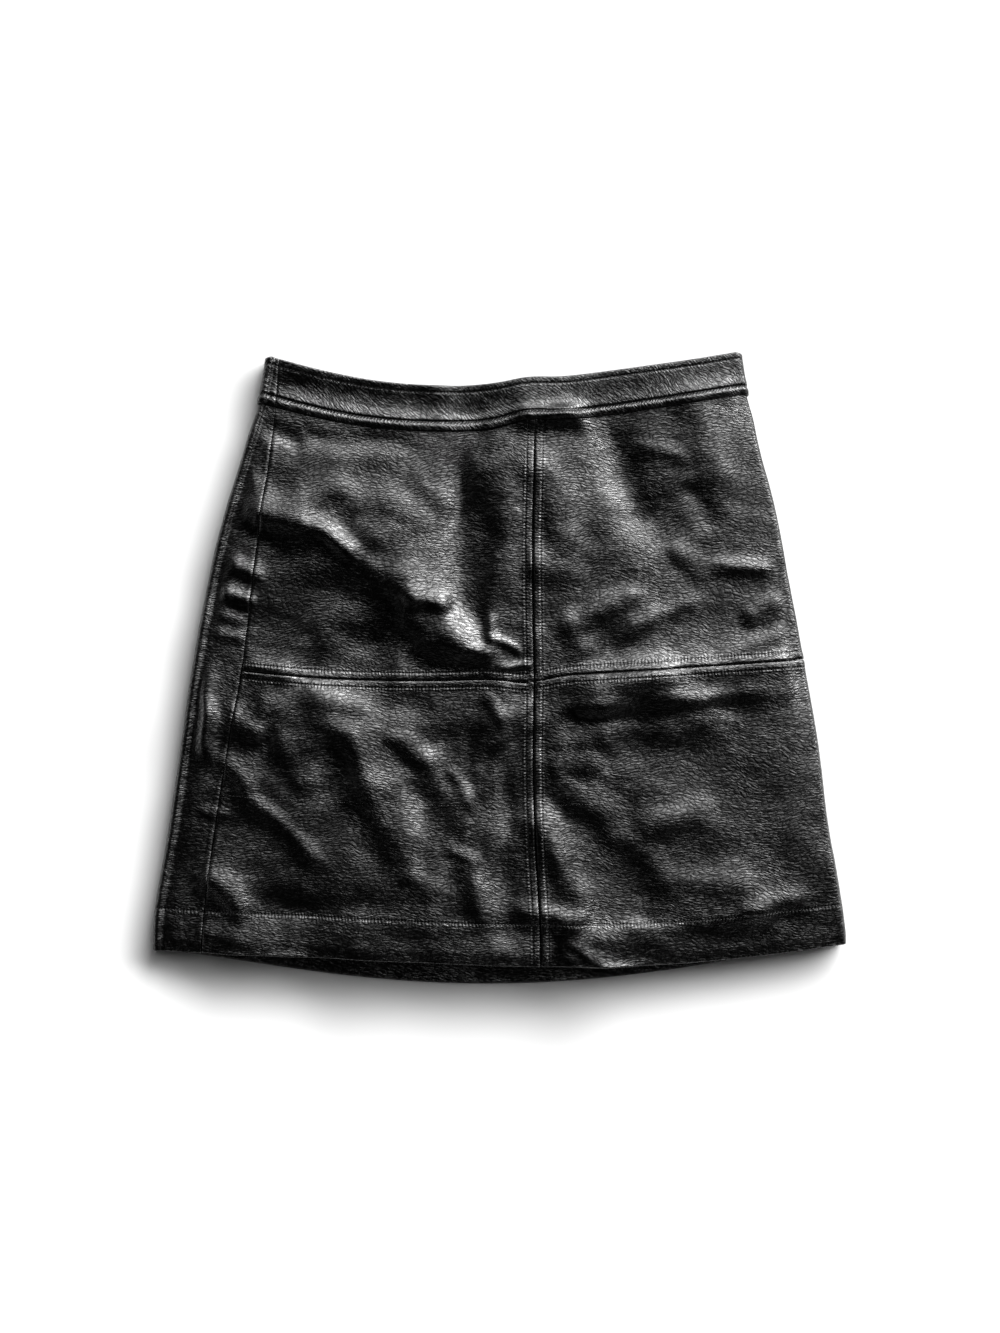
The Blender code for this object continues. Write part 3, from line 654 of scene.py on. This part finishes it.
# ---------------- shells
def graded(start, end, coarse, marks):
    """Steps from start to end that are fine near the marks."""
    at = np.linspace(start, end, SAMPLES)
    step = np.full(at.shape, coarse)
    for mark in marks:
        near = 1 - ease((np.abs(at - mark) - FINE_REACH) / FINE_FADE)
        step = np.minimum(step, coarse + (FINE - coarse) * near)
    count = np.concatenate([[0], np.cumsum((at[1:] - at[:-1]) / ((step[1:] + step[:-1]) / 2))])
    return np.interp(np.linspace(0, count[-1], int(round(count[-1])) + 1), count, at)


def shares(width, coarse, marks):
    return graded(0, width, coarse, marks) / width


def normals_of(points):
    across = np.gradient(points, axis=1)
    along = np.gradient(points, axis=0)
    normal = np.cross(along, across)
    return normal / np.maximum(np.linalg.norm(normal, axis=2, keepdims=True), 1e-9)


def new_object(name, points, faces):
    mesh = bpy.data.meshes.new(name)
    mesh.vertices.add(len(points))
    mesh.vertices.foreach_set("co", np.asarray(points, np.float32).ravel())
    mesh.loops.add(faces.size)
    mesh.loops.foreach_set("vertex_index", faces.ravel().astype(np.int32))
    mesh.polygons.add(len(faces))
    mesh.polygons.foreach_set("loop_start", np.arange(0, faces.size, 4, dtype=np.int32))
    mesh.update(calc_edges=True)
    mesh.validate()
    mesh.shade_smooth()
    piece = bpy.data.objects.new(name, mesh)
    bpy.context.scene.collection.objects.link(piece)
    return piece


def mark(mesh, name, values):
    """Store a vector for each point of both faces of a shell."""
    values = np.stack(values, axis=2).reshape(-1, 3) * MM
    attribute = mesh.attributes.new(name, "FLOAT_VECTOR", "POINT")
    attribute.data.foreach_set("vector", np.concatenate([values, values]).astype(np.float32).ravel())


def shell(name, place, relief, wall, edge_fall):
    """A closed shell: the skin moved out by its relief, and an inner face."""
    out = relief + edge_fall
    outer = np.stack([place.x + out * place.nx, place.y + out * place.ny, place.z + out * place.nz], axis=2)
    inner = outer - normals_of(outer) * (wall + 2 * edge_fall)[:, :, None]
    rows, columns = out.shape
    points = np.concatenate([outer.reshape(-1, 3), inner.reshape(-1, 3)])
    points[:, 1] += TO_CENTRE
    index = np.arange(rows * columns).reshape(rows, columns)
    a, b, c, d = index[:-1, :-1], index[:-1, 1:], index[1:, 1:], index[1:, :-1]
    top = np.stack([a, d, c, b], axis=2).reshape(-1, 4)
    under = top[:, ::-1] + rows * columns
    rim = np.concatenate([index[0, ::-1], index[:, 0], index[-1, :], index[::-1, -1]])
    rim = rim[np.concatenate([[True], rim[1:] != rim[:-1]])]
    here, there = rim[:-1], rim[1:]
    side = np.stack([here, here + rows * columns, there + rows * columns, there], axis=1)
    return new_object(name, points * MM, np.concatenate([top, under, side]))


def leather_piece(name, zones, downs, relief, rows, wall, edges):
    """One cut piece. Zones are (zone, shares) round the tube, edges are the
    distances down the skirt at which it has a rounded free edge."""
    down = downs[:, None]
    place = joined([skin(zone, share[None, :], down) for zone, share in zones])
    down = np.broadcast_to(down, place.x.shape)
    fall = np.zeros(place.x.shape)
    thick = wall(place, down)
    for edge in edges:
        fall = fall + rounded(np.abs(down - edge), EDGE_ROUND) * thick / (2.1 * EDGE_ROUND)
    piece = shell(name, place, relief(place, down), thick, fall)
    mark(piece.data, "sewn", rows(place, down))
    turn = math.radians(GRAIN_TURN.get(name, 0.0))
    grain_x = place.cut_x * math.cos(turn) - place.cut_y * math.sin(turn)
    grain_y = place.cut_x * math.sin(turn) + place.cut_y * math.cos(turn)
    mark(piece.data, "cut", (grain_x, grain_y, np.zeros(down.shape)))
    return piece


def hem_wall(place, down):
    return LEATHER * (1 + ease((down - HEM_STITCH) / 1.5))


def back_wall(place, down):
    return hem_wall(place, down) * (1 - HEM_TAPER * ease((down - HEM + 16.0) / 18.0))


def band_wall(place, down):
    facing = 1 - ease((down - (PANEL_TOP - 3.0)) / 1.5)
    beside_zip = (place.front < 0.001) & (np.abs(place.x - zip_seam_x(down)) < RECESS_REACH)
    return BAND_PLY * (1 + facing * (1 - beside_zip))


GRAIN_TURN = {"waistband_front_leather": 48.0, "waistband_back_leather": 48.0}
NOMINAL = {"left": 210.0, "right": 195.0, "front": 340.0, "under": 16.0, "back": 400.0, "strip": 24.0}
bend = np.linspace(0, 1, BEND_STEPS + 1)[1:-1]
left_shares = shares(NOMINAL["left"], COARSE, (0, NOMINAL["left"]))
right_shares = shares(NOMINAL["right"], COARSE, (0,))
under_shares = np.linspace(0, 1, 8)
back_shares = shares(NOMINAL["back"], BACK_COARSE, (0,))
strip_shares = shares(NOMINAL["strip"], 1.2, (NOMINAL["strip"],))
left_zones = [("left", left_shares)]
right_zones = [("right", right_shares), ("right_bend", bend), ("under", under_shares)]
back_zones = [("back", back_shares), ("left_bend", bend), ("strip", strip_shares)]
front_shares = shares(NOMINAL["front"], 1.0, (0,))
front_band_zones = [("front", front_shares), ("right_bend", bend), ("under", under_shares)]

upper_downs = graded(PANEL_TOP, MID_SEAM - GAP / 2, COARSE, (BAND_BOTTOM, MID_SEAM))
lower_downs = graded(MID_SEAM + GAP / 2, HEM, COARSE, (MID_SEAM, HEM_STITCH, HEM))
back_downs = graded(PANEL_TOP, HEM, 2.4, (BAND_BOTTOM, HEM_STITCH, HEM))
band_downs = graded(0, BAND_BOTTOM, 0.8, (0, TOP_STITCH, BAND_BOTTOM - BAND_STITCH, BAND_BOTTOM))

PIECES = (
    # name, zones, distances down, relief, stitch rows, wall, rounded edges
    ("front_upper_left", left_zones, upper_downs, panel_relief, panel_rows, hem_wall, ()),
    ("front_upper_right", right_zones, upper_downs, panel_relief, panel_rows, hem_wall, ()),
    ("front_lower_left", left_zones, lower_downs, panel_relief, panel_rows, hem_wall, (HEM,)),
    ("front_lower_right", right_zones, lower_downs, panel_relief, panel_rows, hem_wall, (HEM,)),
    ("back_panel", back_zones, back_downs, back_relief, back_rows, back_wall, (HEM,)),
    ("waistband_front", front_band_zones, band_downs, band_relief, band_rows, band_wall, (0, BAND_BOTTOM)),
    ("waistband_back", back_zones, band_downs, band_relief, band_rows, band_wall, (0, BAND_BOTTOM)),
)


# ---------------- materials
def connect(tree, made, inputs):
    """Give a node its inputs, each from a socket or as a plain value."""
    for key, value in inputs.items():
        if isinstance(value, bpy.types.NodeSocket):
            tree.links.new(value, made.inputs[key])
        else:
            made.inputs[key].default_value = value


def node(tree, kind, inputs=None, **settings):
    made = tree.nodes.new("ShaderNode" + kind)
    for key, value in settings.items():
        setattr(made, key, value)
    connect(tree, made, inputs or {})
    return made


def maths(tree, operation, first, second=0.0, clamp=False):
    made = node(tree, "Math", {0: first, 1: second}, operation=operation, use_clamp=clamp)
    return made.outputs[0]


def times(tree, first, second):
    return maths(tree, "MULTIPLY", first, second)


def plus(tree, first, second):
    return maths(tree, "ADD", first, second)


def vector_maths(tree, operation, first, second):
    return node(tree, "VectorMath", {0: first, 1: second}, operation=operation).outputs[0]


def blend(tree, factor, low, high):
    return node(tree, "MapRange", {"Value": factor, "To Min": low, "To Max": high}).outputs[0]


def smooth_step(tree, value, low, high):
    made = node(
        tree, "MapRange", {"Value": value, "From Min": low, "From Max": high},
        interpolation_type="SMOOTHSTEP",
    )
    return made.outputs[0]


def cloud(tree, vector, scale, detail, output="Fac"):
    """Soft noise, with about as many features to the metre as its scale."""
    made = node(tree, "TexNoise", {"Vector": vector, "Scale": scale, "Detail": detail})
    return made.outputs[output]


def new_material(name):
    mat = bpy.data.materials.new(name)
    mat.use_nodes = True
    return mat, mat.node_tree, mat.node_tree.nodes["Principled BSDF"]


def dome(tree, vector, scale, reach):
    """Cells of a grain, each rising from its edges to a rounded top."""
    edge = node(
        tree, "TexVoronoi", {"Vector": vector, "Scale": scale}, feature="DISTANCE_TO_EDGE",
    ).outputs["Distance"]
    fall = maths(tree, "SUBTRACT", 1.0, maths(tree, "DIVIDE", edge, reach, clamp=True), clamp=True)
    return maths(tree, "SUBTRACT", 1.0, times(tree, fall, fall))


def puckers(tree, sewn, cut):
    """Small ridges across the stitch rows, one to a stitch."""
    split = node(tree, "SeparateXYZ", {0: sewn})
    down_cut = node(tree, "SeparateXYZ", {0: cut}).outputs["Y"]
    vary = cloud(tree, cut, 140.0, 1.0)
    wobble = times(tree, maths(tree, "SUBTRACT", vary, 0.5), 9.0)
    rate = 2 * math.pi / ((STITCH_LENGTH + STITCH_GAP) * MM)
    total = 0.0
    for aside, along in ((split.outputs["X"], down_cut), (split.outputs["Y"], split.outputs["Z"])):
        near = smooth_step(tree, maths(tree, "ABSOLUTE", aside), PUCKER_REACH * MM, 0.3 * MM)
        turn = plus(tree, times(tree, along, rate), wobble)
        wave = times(tree, maths(tree, "SINE", turn), near)
        total = plus(tree, wave, total)
    return times(tree, total, blend(tree, vary, 0.25, 1.35))


WRINKLE_PITCH = 0.0027   # from one fine wrinkle to the next, in metres
WRINKLE_KINK = 22.0      # how far they wander
BUMP_DEPTH = 0.00035
PEBBLE_RISE = 0.42       # shares of that depth
SMALL_RISE = 0.12
WRINKLE_RISE = 0.17
PORE_RISE = 0.05
PUCKER_RISE = 0.34


def leather_material():
    """Black, glossy, grained leather. The grain is drawn out across the skirt."""
    mat, tree, shader = new_material("black_leather")
    cut = node(tree, "Attribute", attribute_name="cut").outputs["Vector"]
    sewn = node(tree, "Attribute", attribute_name="sewn").outputs["Vector"]
    drift = cloud(tree, cut, 16.0, 1.0, "Color")
    drift = vector_maths(tree, "SUBTRACT", drift, (0.5, 0.5, 0.5))
    slow = vector_maths(tree, "MULTIPLY", drift, (0.012, 0.036, 0.0))
    waver = cloud(tree, cut, 110.0, 1.0, "Color")
    waver = vector_maths(tree, "SUBTRACT", waver, (0.5, 0.5, 0.5))
    fast = vector_maths(tree, "MULTIPLY", waver, (0.0040, 0.0034, 0.0))
    warped = vector_maths(tree, "ADD", vector_maths(tree, "ADD", cut, slow), fast)
    pebble = dome(tree, vector_maths(tree, "MULTIPLY", warped, (0.42, 1.0, 1.0)), 500.0, 0.40)
    small = dome(tree, vector_maths(tree, "MULTIPLY", warped, (0.55, 1.0, 1.0)), 780.0, 0.34)
    kinks = node(
        tree, "TexNoise",
        {"Vector": vector_maths(tree, "MULTIPLY", cut, (0.45, 1.0, 1.0)), "Scale": 170.0, "Detail": 2.0,
         "Roughness": 0.6},
    ).outputs["Fac"]
    row = node(tree, "SeparateXYZ", {0: warped}).outputs["Y"]
    turn = times(tree, row, 2 * math.pi / WRINKLE_PITCH)
    turn = plus(tree, turn, times(tree, kinks, WRINKLE_KINK))
    turn = plus(tree, turn, times(tree, maths(tree, "SINE", turn), WRINKLE_LEAN))
    wrinkle = maths(tree, "SINE", turn)
    pores = cloud(tree, cut, 1500.0, 2.0)
    patch = cloud(tree, cut, 30.0, 2.0)
    strength = blend(tree, patch, 0.45, 1.45)
    height = times(tree, pebble, PEBBLE_RISE)
    height = plus(tree, height, times(tree, small, SMALL_RISE))
    height = plus(tree, height, times(tree, wrinkle, WRINKLE_RISE))
    height = times(tree, height, strength)
    height = plus(tree, height, times(tree, pores, PORE_RISE))
    height = plus(tree, height, times(tree, puckers(tree, sewn, cut), PUCKER_RISE))
    bump = node(tree, "Bump", {"Height": height, "Distance": BUMP_DEPTH, "Strength": 1.0})
    # The colour is a little darker in the grain's hollows, and the gloss is turned down there (Specular IOR
    # Level 0.28 in the hollows, 1.0 on the pebble tops): a painted shade in the hollows.
    low, high = (0.0002, 0.0002, 0.0002, 1), (0.0008, 0.0008, 0.0008, 1)
    colour = node(tree, "Mix", {"Factor": pebble, "A": low, "B": high}, data_type="RGBA")
    rough = maths(tree, "SUBTRACT", blend(tree, patch, 0.23, 0.33), times(tree, pebble, 0.04))
    connect(tree, shader, {
        "Normal": bump.outputs[0], "Base Color": colour.outputs["Result"], "Roughness": rough,
        "Specular IOR Level": blend(tree, pebble, 0.28, 1.0),
    })
    return mat


def plain_material(name, colour, roughness, metallic, shine, grain, depth):
    """A fine, even surface: thread, tape or lacquered metal."""
    mat, tree, shader = new_material(name)
    place = node(tree, "TexCoord").outputs["Object"]
    speck = cloud(tree, place, grain, 3.0)
    bump = node(tree, "Bump", {"Height": speck, "Distance": depth, "Strength": 0.8})
    low, high = (*(channel * 0.7 for channel in colour), 1), (*colour, 1)
    mixed = node(tree, "Mix", {"Factor": speck, "A": low, "B": high}, data_type="RGBA")
    connect(tree, shader, {
        "Normal": bump.outputs[0], "Base Color": mixed.outputs["Result"],
        "Roughness": blend(tree, speck, roughness - 0.06, roughness + 0.06), "Metallic": metallic,
        "Specular IOR Level": shine,
    })
    return mat


leather = leather_material()
coil = plain_material("zip_coil", (0.010, 0.010, 0.011), 0.40, 0.0, 0.5, 2500.0, 0.00005)
thread = plain_material("black_thread", (0.006, 0.006, 0.006), 0.50, 0.0, 0.35, 2500.0, 0.00008)
tape = plain_material("zip_tape", (0.010, 0.010, 0.011), 0.85, 0.0, 0.3, 1800.0, 0.00010)
metal = plain_material("blackened_metal", (0.030, 0.030, 0.032), 0.34, 1.0, 0.5, 900.0, 0.00002)


def dress(piece, material):
    piece.data.materials.clear()
    piece.data.materials.append(material)


for name, zones, downs, relief, rows, wall, edges in PIECES:
    piece = leather_piece(name + "_leather", zones, downs, relief, rows, wall, edges)
    dress(piece, leather)
    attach(piece, "skirt")
    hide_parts(name)


# ---------------- stitches
def surface(zone, share, down, relief):
    """Points and outward directions on a finished surface, in millimetres."""
    place = skin(zone, share, down)
    out = relief(place, np.broadcast_to(down, place.x.shape))
    up = np.stack([place.nx, place.ny, place.nz], 1)
    point = np.stack([place.x, place.y, place.z], 1) + out[:, None] * up
    return point + (0, TO_CENTRE, 0), up


def seam_line(offset, start, end):
    """A line beside the centre seam, from one distance down to another."""
    down = np.arange(start, end, 0.5)
    begin, finish = zone_ends("front", down)
    share = (seam("centre_x", down) + offset - begin) / (finish - begin)
    return surface("front", share, down, panel_relief)


def round_line(down, zones, relief):
    """A line round the tube at one distance from the waist edge."""
    parts = [surface(zone, share, np.full(share.shape, float(down)), relief) for zone, share in zones]
    return tuple(np.concatenate(part) for part in zip(*parts))


FRONT_ROUND = (
    ("front", np.linspace(0.004, 1, 700)), ("right_bend", np.linspace(0.05, 0.95, 24)),
    ("under", np.linspace(0, 0.9, 24)),
)
BACK_ROUND = (
    ("back", np.linspace(0.004, 1, 700)), ("left_bend", np.linspace(0.05, 0.95, 24)),
    ("strip", np.linspace(0, 0.97, 60)),
)
ROD_SIDES = 6
# Share of the rod's length, thickness there, and height of its centre.
ROD_PROFILE = ((0.0, 0.35, -1.1), (0.12, 0.8, -0.35), (0.3, 1.0, 0.1), (0.7, 1.0, 0.1), (0.88, 0.8, -0.35),
               (1.0, 0.35, -1.1))
# The two faces that close each end of a rod, by their points round it.
FIRST_CAP = ((0, 5, 2, 1), (5, 4, 3, 2))
LAST_CAP = ((0, 1, 2, 5), (5, 2, 3, 4))


def at_length(at, length, rows):
    """A row worked out between others, at a length along their line."""
    return np.array([np.interp(at, length, column) for column in rows.T])


def rods(name, lines, rod_length, gap, material):
    """Rows of short rods as one mesh. Their ends dip into what they lie on."""
    points, faces = [], []
    for line, up in lines:
        length = np.concatenate([[0], np.cumsum(np.linalg.norm(np.diff(line, axis=0), axis=1))])
        starts = np.arange(0, length[-1] - rod_length, rod_length + gap)
        for start in starts:
            base = len(points) * len(ROD_PROFILE) * ROD_SIDES
            ring_points = []
            for share, thick, depth in ROD_PROFILE:
                at = start + share * rod_length
                centre = at_length(at, length, line)
                ahead = at_length(at + 0.3, length, line) - centre
                normal = at_length(at, length, up)
                ahead /= np.linalg.norm(ahead)
                side = np.cross(ahead, normal)
                side /= np.linalg.norm(side)
                normal = np.cross(side, ahead)
                turn = np.arange(ROD_SIDES) / ROD_SIDES * 2 * np.pi
                sunk = min(normal[2], 0) * THREAD
                circle = thick * THREAD * (np.cos(turn)[:, None] * side + np.sin(turn)[:, None] * normal)
                ring_points.append(centre + (depth * THREAD + sunk) * normal + circle)
            points.append(np.concatenate(ring_points))
            for ring_index in range(len(ROD_PROFILE) - 1):
                for step in range(ROD_SIDES):
                    a = base + ring_index * ROD_SIDES + step
                    b = base + ring_index * ROD_SIDES + (step + 1) % ROD_SIDES
                    faces.append((a, b, b + ROD_SIDES, a + ROD_SIDES))
            last = base + (len(ROD_PROFILE) - 1) * ROD_SIDES
            for foot, cap in ((base, FIRST_CAP), (last, LAST_CAP)):
                faces.extend(tuple(foot + step for step in order) for order in cap)
    piece = new_object(name, np.concatenate(points) * MM, np.array(faces))
    dress(piece, material)
    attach(piece, "skirt")


def stitches(name, lines):
    rods(name, lines, STITCH_LENGTH, STITCH_GAP, thread)


def tooth_line(down, side):
    """Across the closed zip, over the middle of its tapes and a little aside."""
    x = zip_seam_x(down) + side * TOOTH / 5 + np.linspace(-0.51, 0.51, 9) * TOOTH
    released = ease((down - BAND_BOTTOM) / LAP_RELEASE)
    inside = BAND_PLY if down < PANEL_TOP else LEATHER + (BAND_PLY + GAP) * (1 - released)
    z = recess(x, down) + inside + GAP + TAPE_THICK + THREAD
    line = np.stack([x, back_y(x, down) + TO_CENTRE, z], 1)
    return line, np.tile((0.0, 0.0, 1.0), (len(line), 1))


centre_stops = (BAND_BOTTOM + 0.5, MID_SEAM - STRIP, MID_SEAM + STRIP, HEM - 1.5)
stitches("centre_stitching", [
    seam_line(side * STRIP, start, end)
    for side in (-1, 1)
    for start, end in zip(centre_stops, centre_stops[1:])
])
stitches("cross_stitching", [
    round_line(MID_SEAM + side * STRIP, FRONT_ROUND, panel_relief) for side in (-1, 1)
])
stitches("hem_stitching", [
    round_line(HEM_STITCH, FRONT_ROUND, panel_relief), round_line(HEM_STITCH, BACK_ROUND, back_relief),
])
stitches("band_stitching", [
    round_line(down, zones, band_relief)
    for down in (TOP_STITCH, BAND_BOTTOM - BAND_STITCH)
    for zones in (FRONT_ROUND, BACK_ROUND)
])

tooth_downs = np.arange(SLIDER_LENGTH + 1.0, ZIP_LENGTH - 1.0, TOOTH_PITCH)
rods("zip_teeth", [
    tooth_line(down, 1 - 2 * (index % 2)) for index, down in enumerate(tooth_downs)
], TOOTH, TOOTH, coil)

# ---------------- carried CAD pieces
for name, material in (("zip_tape", tape), ("zip_slider", metal), ("zip_pull_tab", metal)):
    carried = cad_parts[name]
    carried.data.materials.clear()
    carried.data.materials.append(material)


# ---------------- floor, lights
FLOOR_HALF = 3.0
FLOOR_DROP = 0.0003      # below the skirt, so that their faces don't coincide


def build_floor():
    mesh = bpy.data.meshes.new("floor")
    corners = [(x * FLOOR_HALF, y * FLOOR_HALF, 0) for x, y in ((-1, -1), (1, -1), (1, 1), (-1, 1))]
    mesh.from_pydata(corners, [], [(0, 1, 2, 3)])
    floor = bpy.data.objects.new("floor", mesh)
    floor.location = (0, 0, -FLOOR_DROP)
    bpy.context.scene.collection.objects.link(floor)
    mat, tree, shader = new_material("white_paper")
    place = node(tree, "TexCoord").outputs["Object"]
    speck = node(tree, "TexNoise", {"Vector": place, "Scale": 400.0}).outputs["Fac"]
    tree.links.new(blend(tree, speck, 0.86, 0.92), shader.inputs["Roughness"])
    shader.inputs["Base Color"].default_value = (0.62, 0.62, 0.62, 1)
    shader.inputs["Specular IOR Level"].default_value = 0.1
    mesh.materials.append(mat)


def share_towards(tree, direction, degrees):
    """How far a direction goes towards a point of the compass."""
    compass = (math.cos(math.radians(degrees)), math.sin(math.radians(degrees)), 0)
    made = node(tree, "VectorMath", {0: direction, 1: compass}, operation="DOT_PRODUCT")
    return made.outputs["Value"]


def build_world():
    """A room that is bright on one side, with a low window there."""
    world = bpy.data.worlds.new("studio")
    bpy.context.scene.world = world
    world.use_nodes = True
    tree = world.node_tree
    background = tree.nodes["Background"]
    direction = node(tree, "TexCoord").outputs["Generated"]
    split = node(tree, "SeparateXYZ", {0: direction})
    height = split.outputs["Z"]
    towards = share_towards(tree, direction, ROOM_AZIMUTH)
    side = plus(tree, maths(tree, "DIVIDE", towards, ROOM_REACH), 1.0)
    side = maths(tree, "MINIMUM", maths(tree, "MAXIMUM", side, 0.0), ROOM_CAP)
    room = times(tree, maths(tree, "POWER", side, ROOM_POWER), ROOM_LIGHT)
    room = times(tree, room, smooth_step(tree, height, 0.0, ROOM_FOOT))
    room = times(tree, room, smooth_step(tree, split.outputs["X"], ROOM_END, ROOM_RIGHT))
    level = maths(tree, "SUBTRACT", 1.0, times(tree, height, height), clamp=True)
    level = maths(tree, "SQRT", level)
    facing = share_towards(tree, direction, WINDOW_AZIMUTH)
    facing = maths(tree, "DIVIDE", facing, maths(tree, "MAXIMUM", level, 0.01))
    edge, core = math.cos(math.radians(WINDOW_EDGE)), math.cos(math.radians(WINDOW_CORE))
    across = smooth_step(tree, facing, edge, core)
    low = maths(tree, "DIVIDE", 1.0, maths(tree, "MAXIMUM", height, WINDOW_FOOT))
    low = maths(tree, "MAXIMUM", maths(tree, "SUBTRACT", low, 1 / WINDOW_HEAD), 0.0)
    low = times(tree, low, smooth_step(tree, height, WINDOW_SILL, WINDOW_FOOT))
    window = times(tree, times(tree, across, low), WINDOW_LIGHT)
    ray = node(tree, "LightPath")
    gloss = ray.outputs["Is Glossy Ray"]
    window = times(tree, window, blend(tree, gloss, 1.0, WINDOW_GLEAM))
    room = times(tree, room, blend(tree, gloss, ROOM_SHARE, 1.0))
    fill = times(tree, smooth_step(tree, height, ROOM_FILL_TOP, ROOM_FOOT), ROOM_FILL)
    light = plus(tree, plus(tree, window, room), plus(tree, fill, ROOM_DARK))
    seen = node(tree, "Mix", {"Factor": ray.outputs["Is Camera Ray"], "A": light, "B": 1.0})
    connect(tree, background, {"Strength": seen.outputs["Result"], "Color": (1, 1, 1, 1)})


CAMERA_HEIGHT = 1.35
FRAME_LONG = 0.954       # the picture's long side, in metres, at the skirt
WINDOW_AZIMUTH = 48.0    # degrees from the right edge of the picture
WINDOW_CORE = 16.0       # full light this far to either side
WINDOW_EDGE = 40.0       # no light beyond
WINDOW_SILL = 0.14       # sine of the elevation where its light begins
WINDOW_FOOT = 0.25       # where it is brightest
WINDOW_HEAD = 0.48       # and where it ends
WINDOW_LIGHT = 64.0
WINDOW_GLEAM = 0.01      # share of it that shows in the leather's gloss
ROOM_AZIMUTH = 58.0      # where the room is brightest
ROOM_LIGHT = 0.083       # straight above
ROOM_SHARE = 0.30        # share of it that falls on the paper
ROOM_REACH = 0.22        # how far behind the zenith the bright side ends
ROOM_POWER = 3.0
ROOM_CAP = 4.2           # where the room stops getting brighter
ROOM_FOOT = 0.35         # sine of the elevation below which it fades
ROOM_RIGHT = 0.55        # how far to the right it reaches in full
ROOM_END = 0.80          # and where it ends there
ROOM_DARK = 0.003
ROOM_FILL = 0.12         # low down, on every side
ROOM_FILL_TOP = 0.58     # and the sine of the elevation where that ends
SENSOR = 36.0
AIM = (0.0003, 0.0014)   # where the camera stands over the skirt
AIM_HEIGHT = 0.012       # FRAME_LONG holds at this height


def build_camera():
    data = bpy.data.cameras.new("camera")
    data.sensor_width = SENSOR
    data.lens = SENSOR * CAMERA_HEIGHT / FRAME_LONG
    camera = bpy.data.objects.new("camera", data)
    camera.location = (*AIM, CAMERA_HEIGHT + AIM_HEIGHT)
    bpy.context.scene.collection.objects.link(camera)
    bpy.context.scene.camera = camera


build_floor()
build_world()
build_camera()
bpy.context.scene.view_settings.view_transform = "Standard"
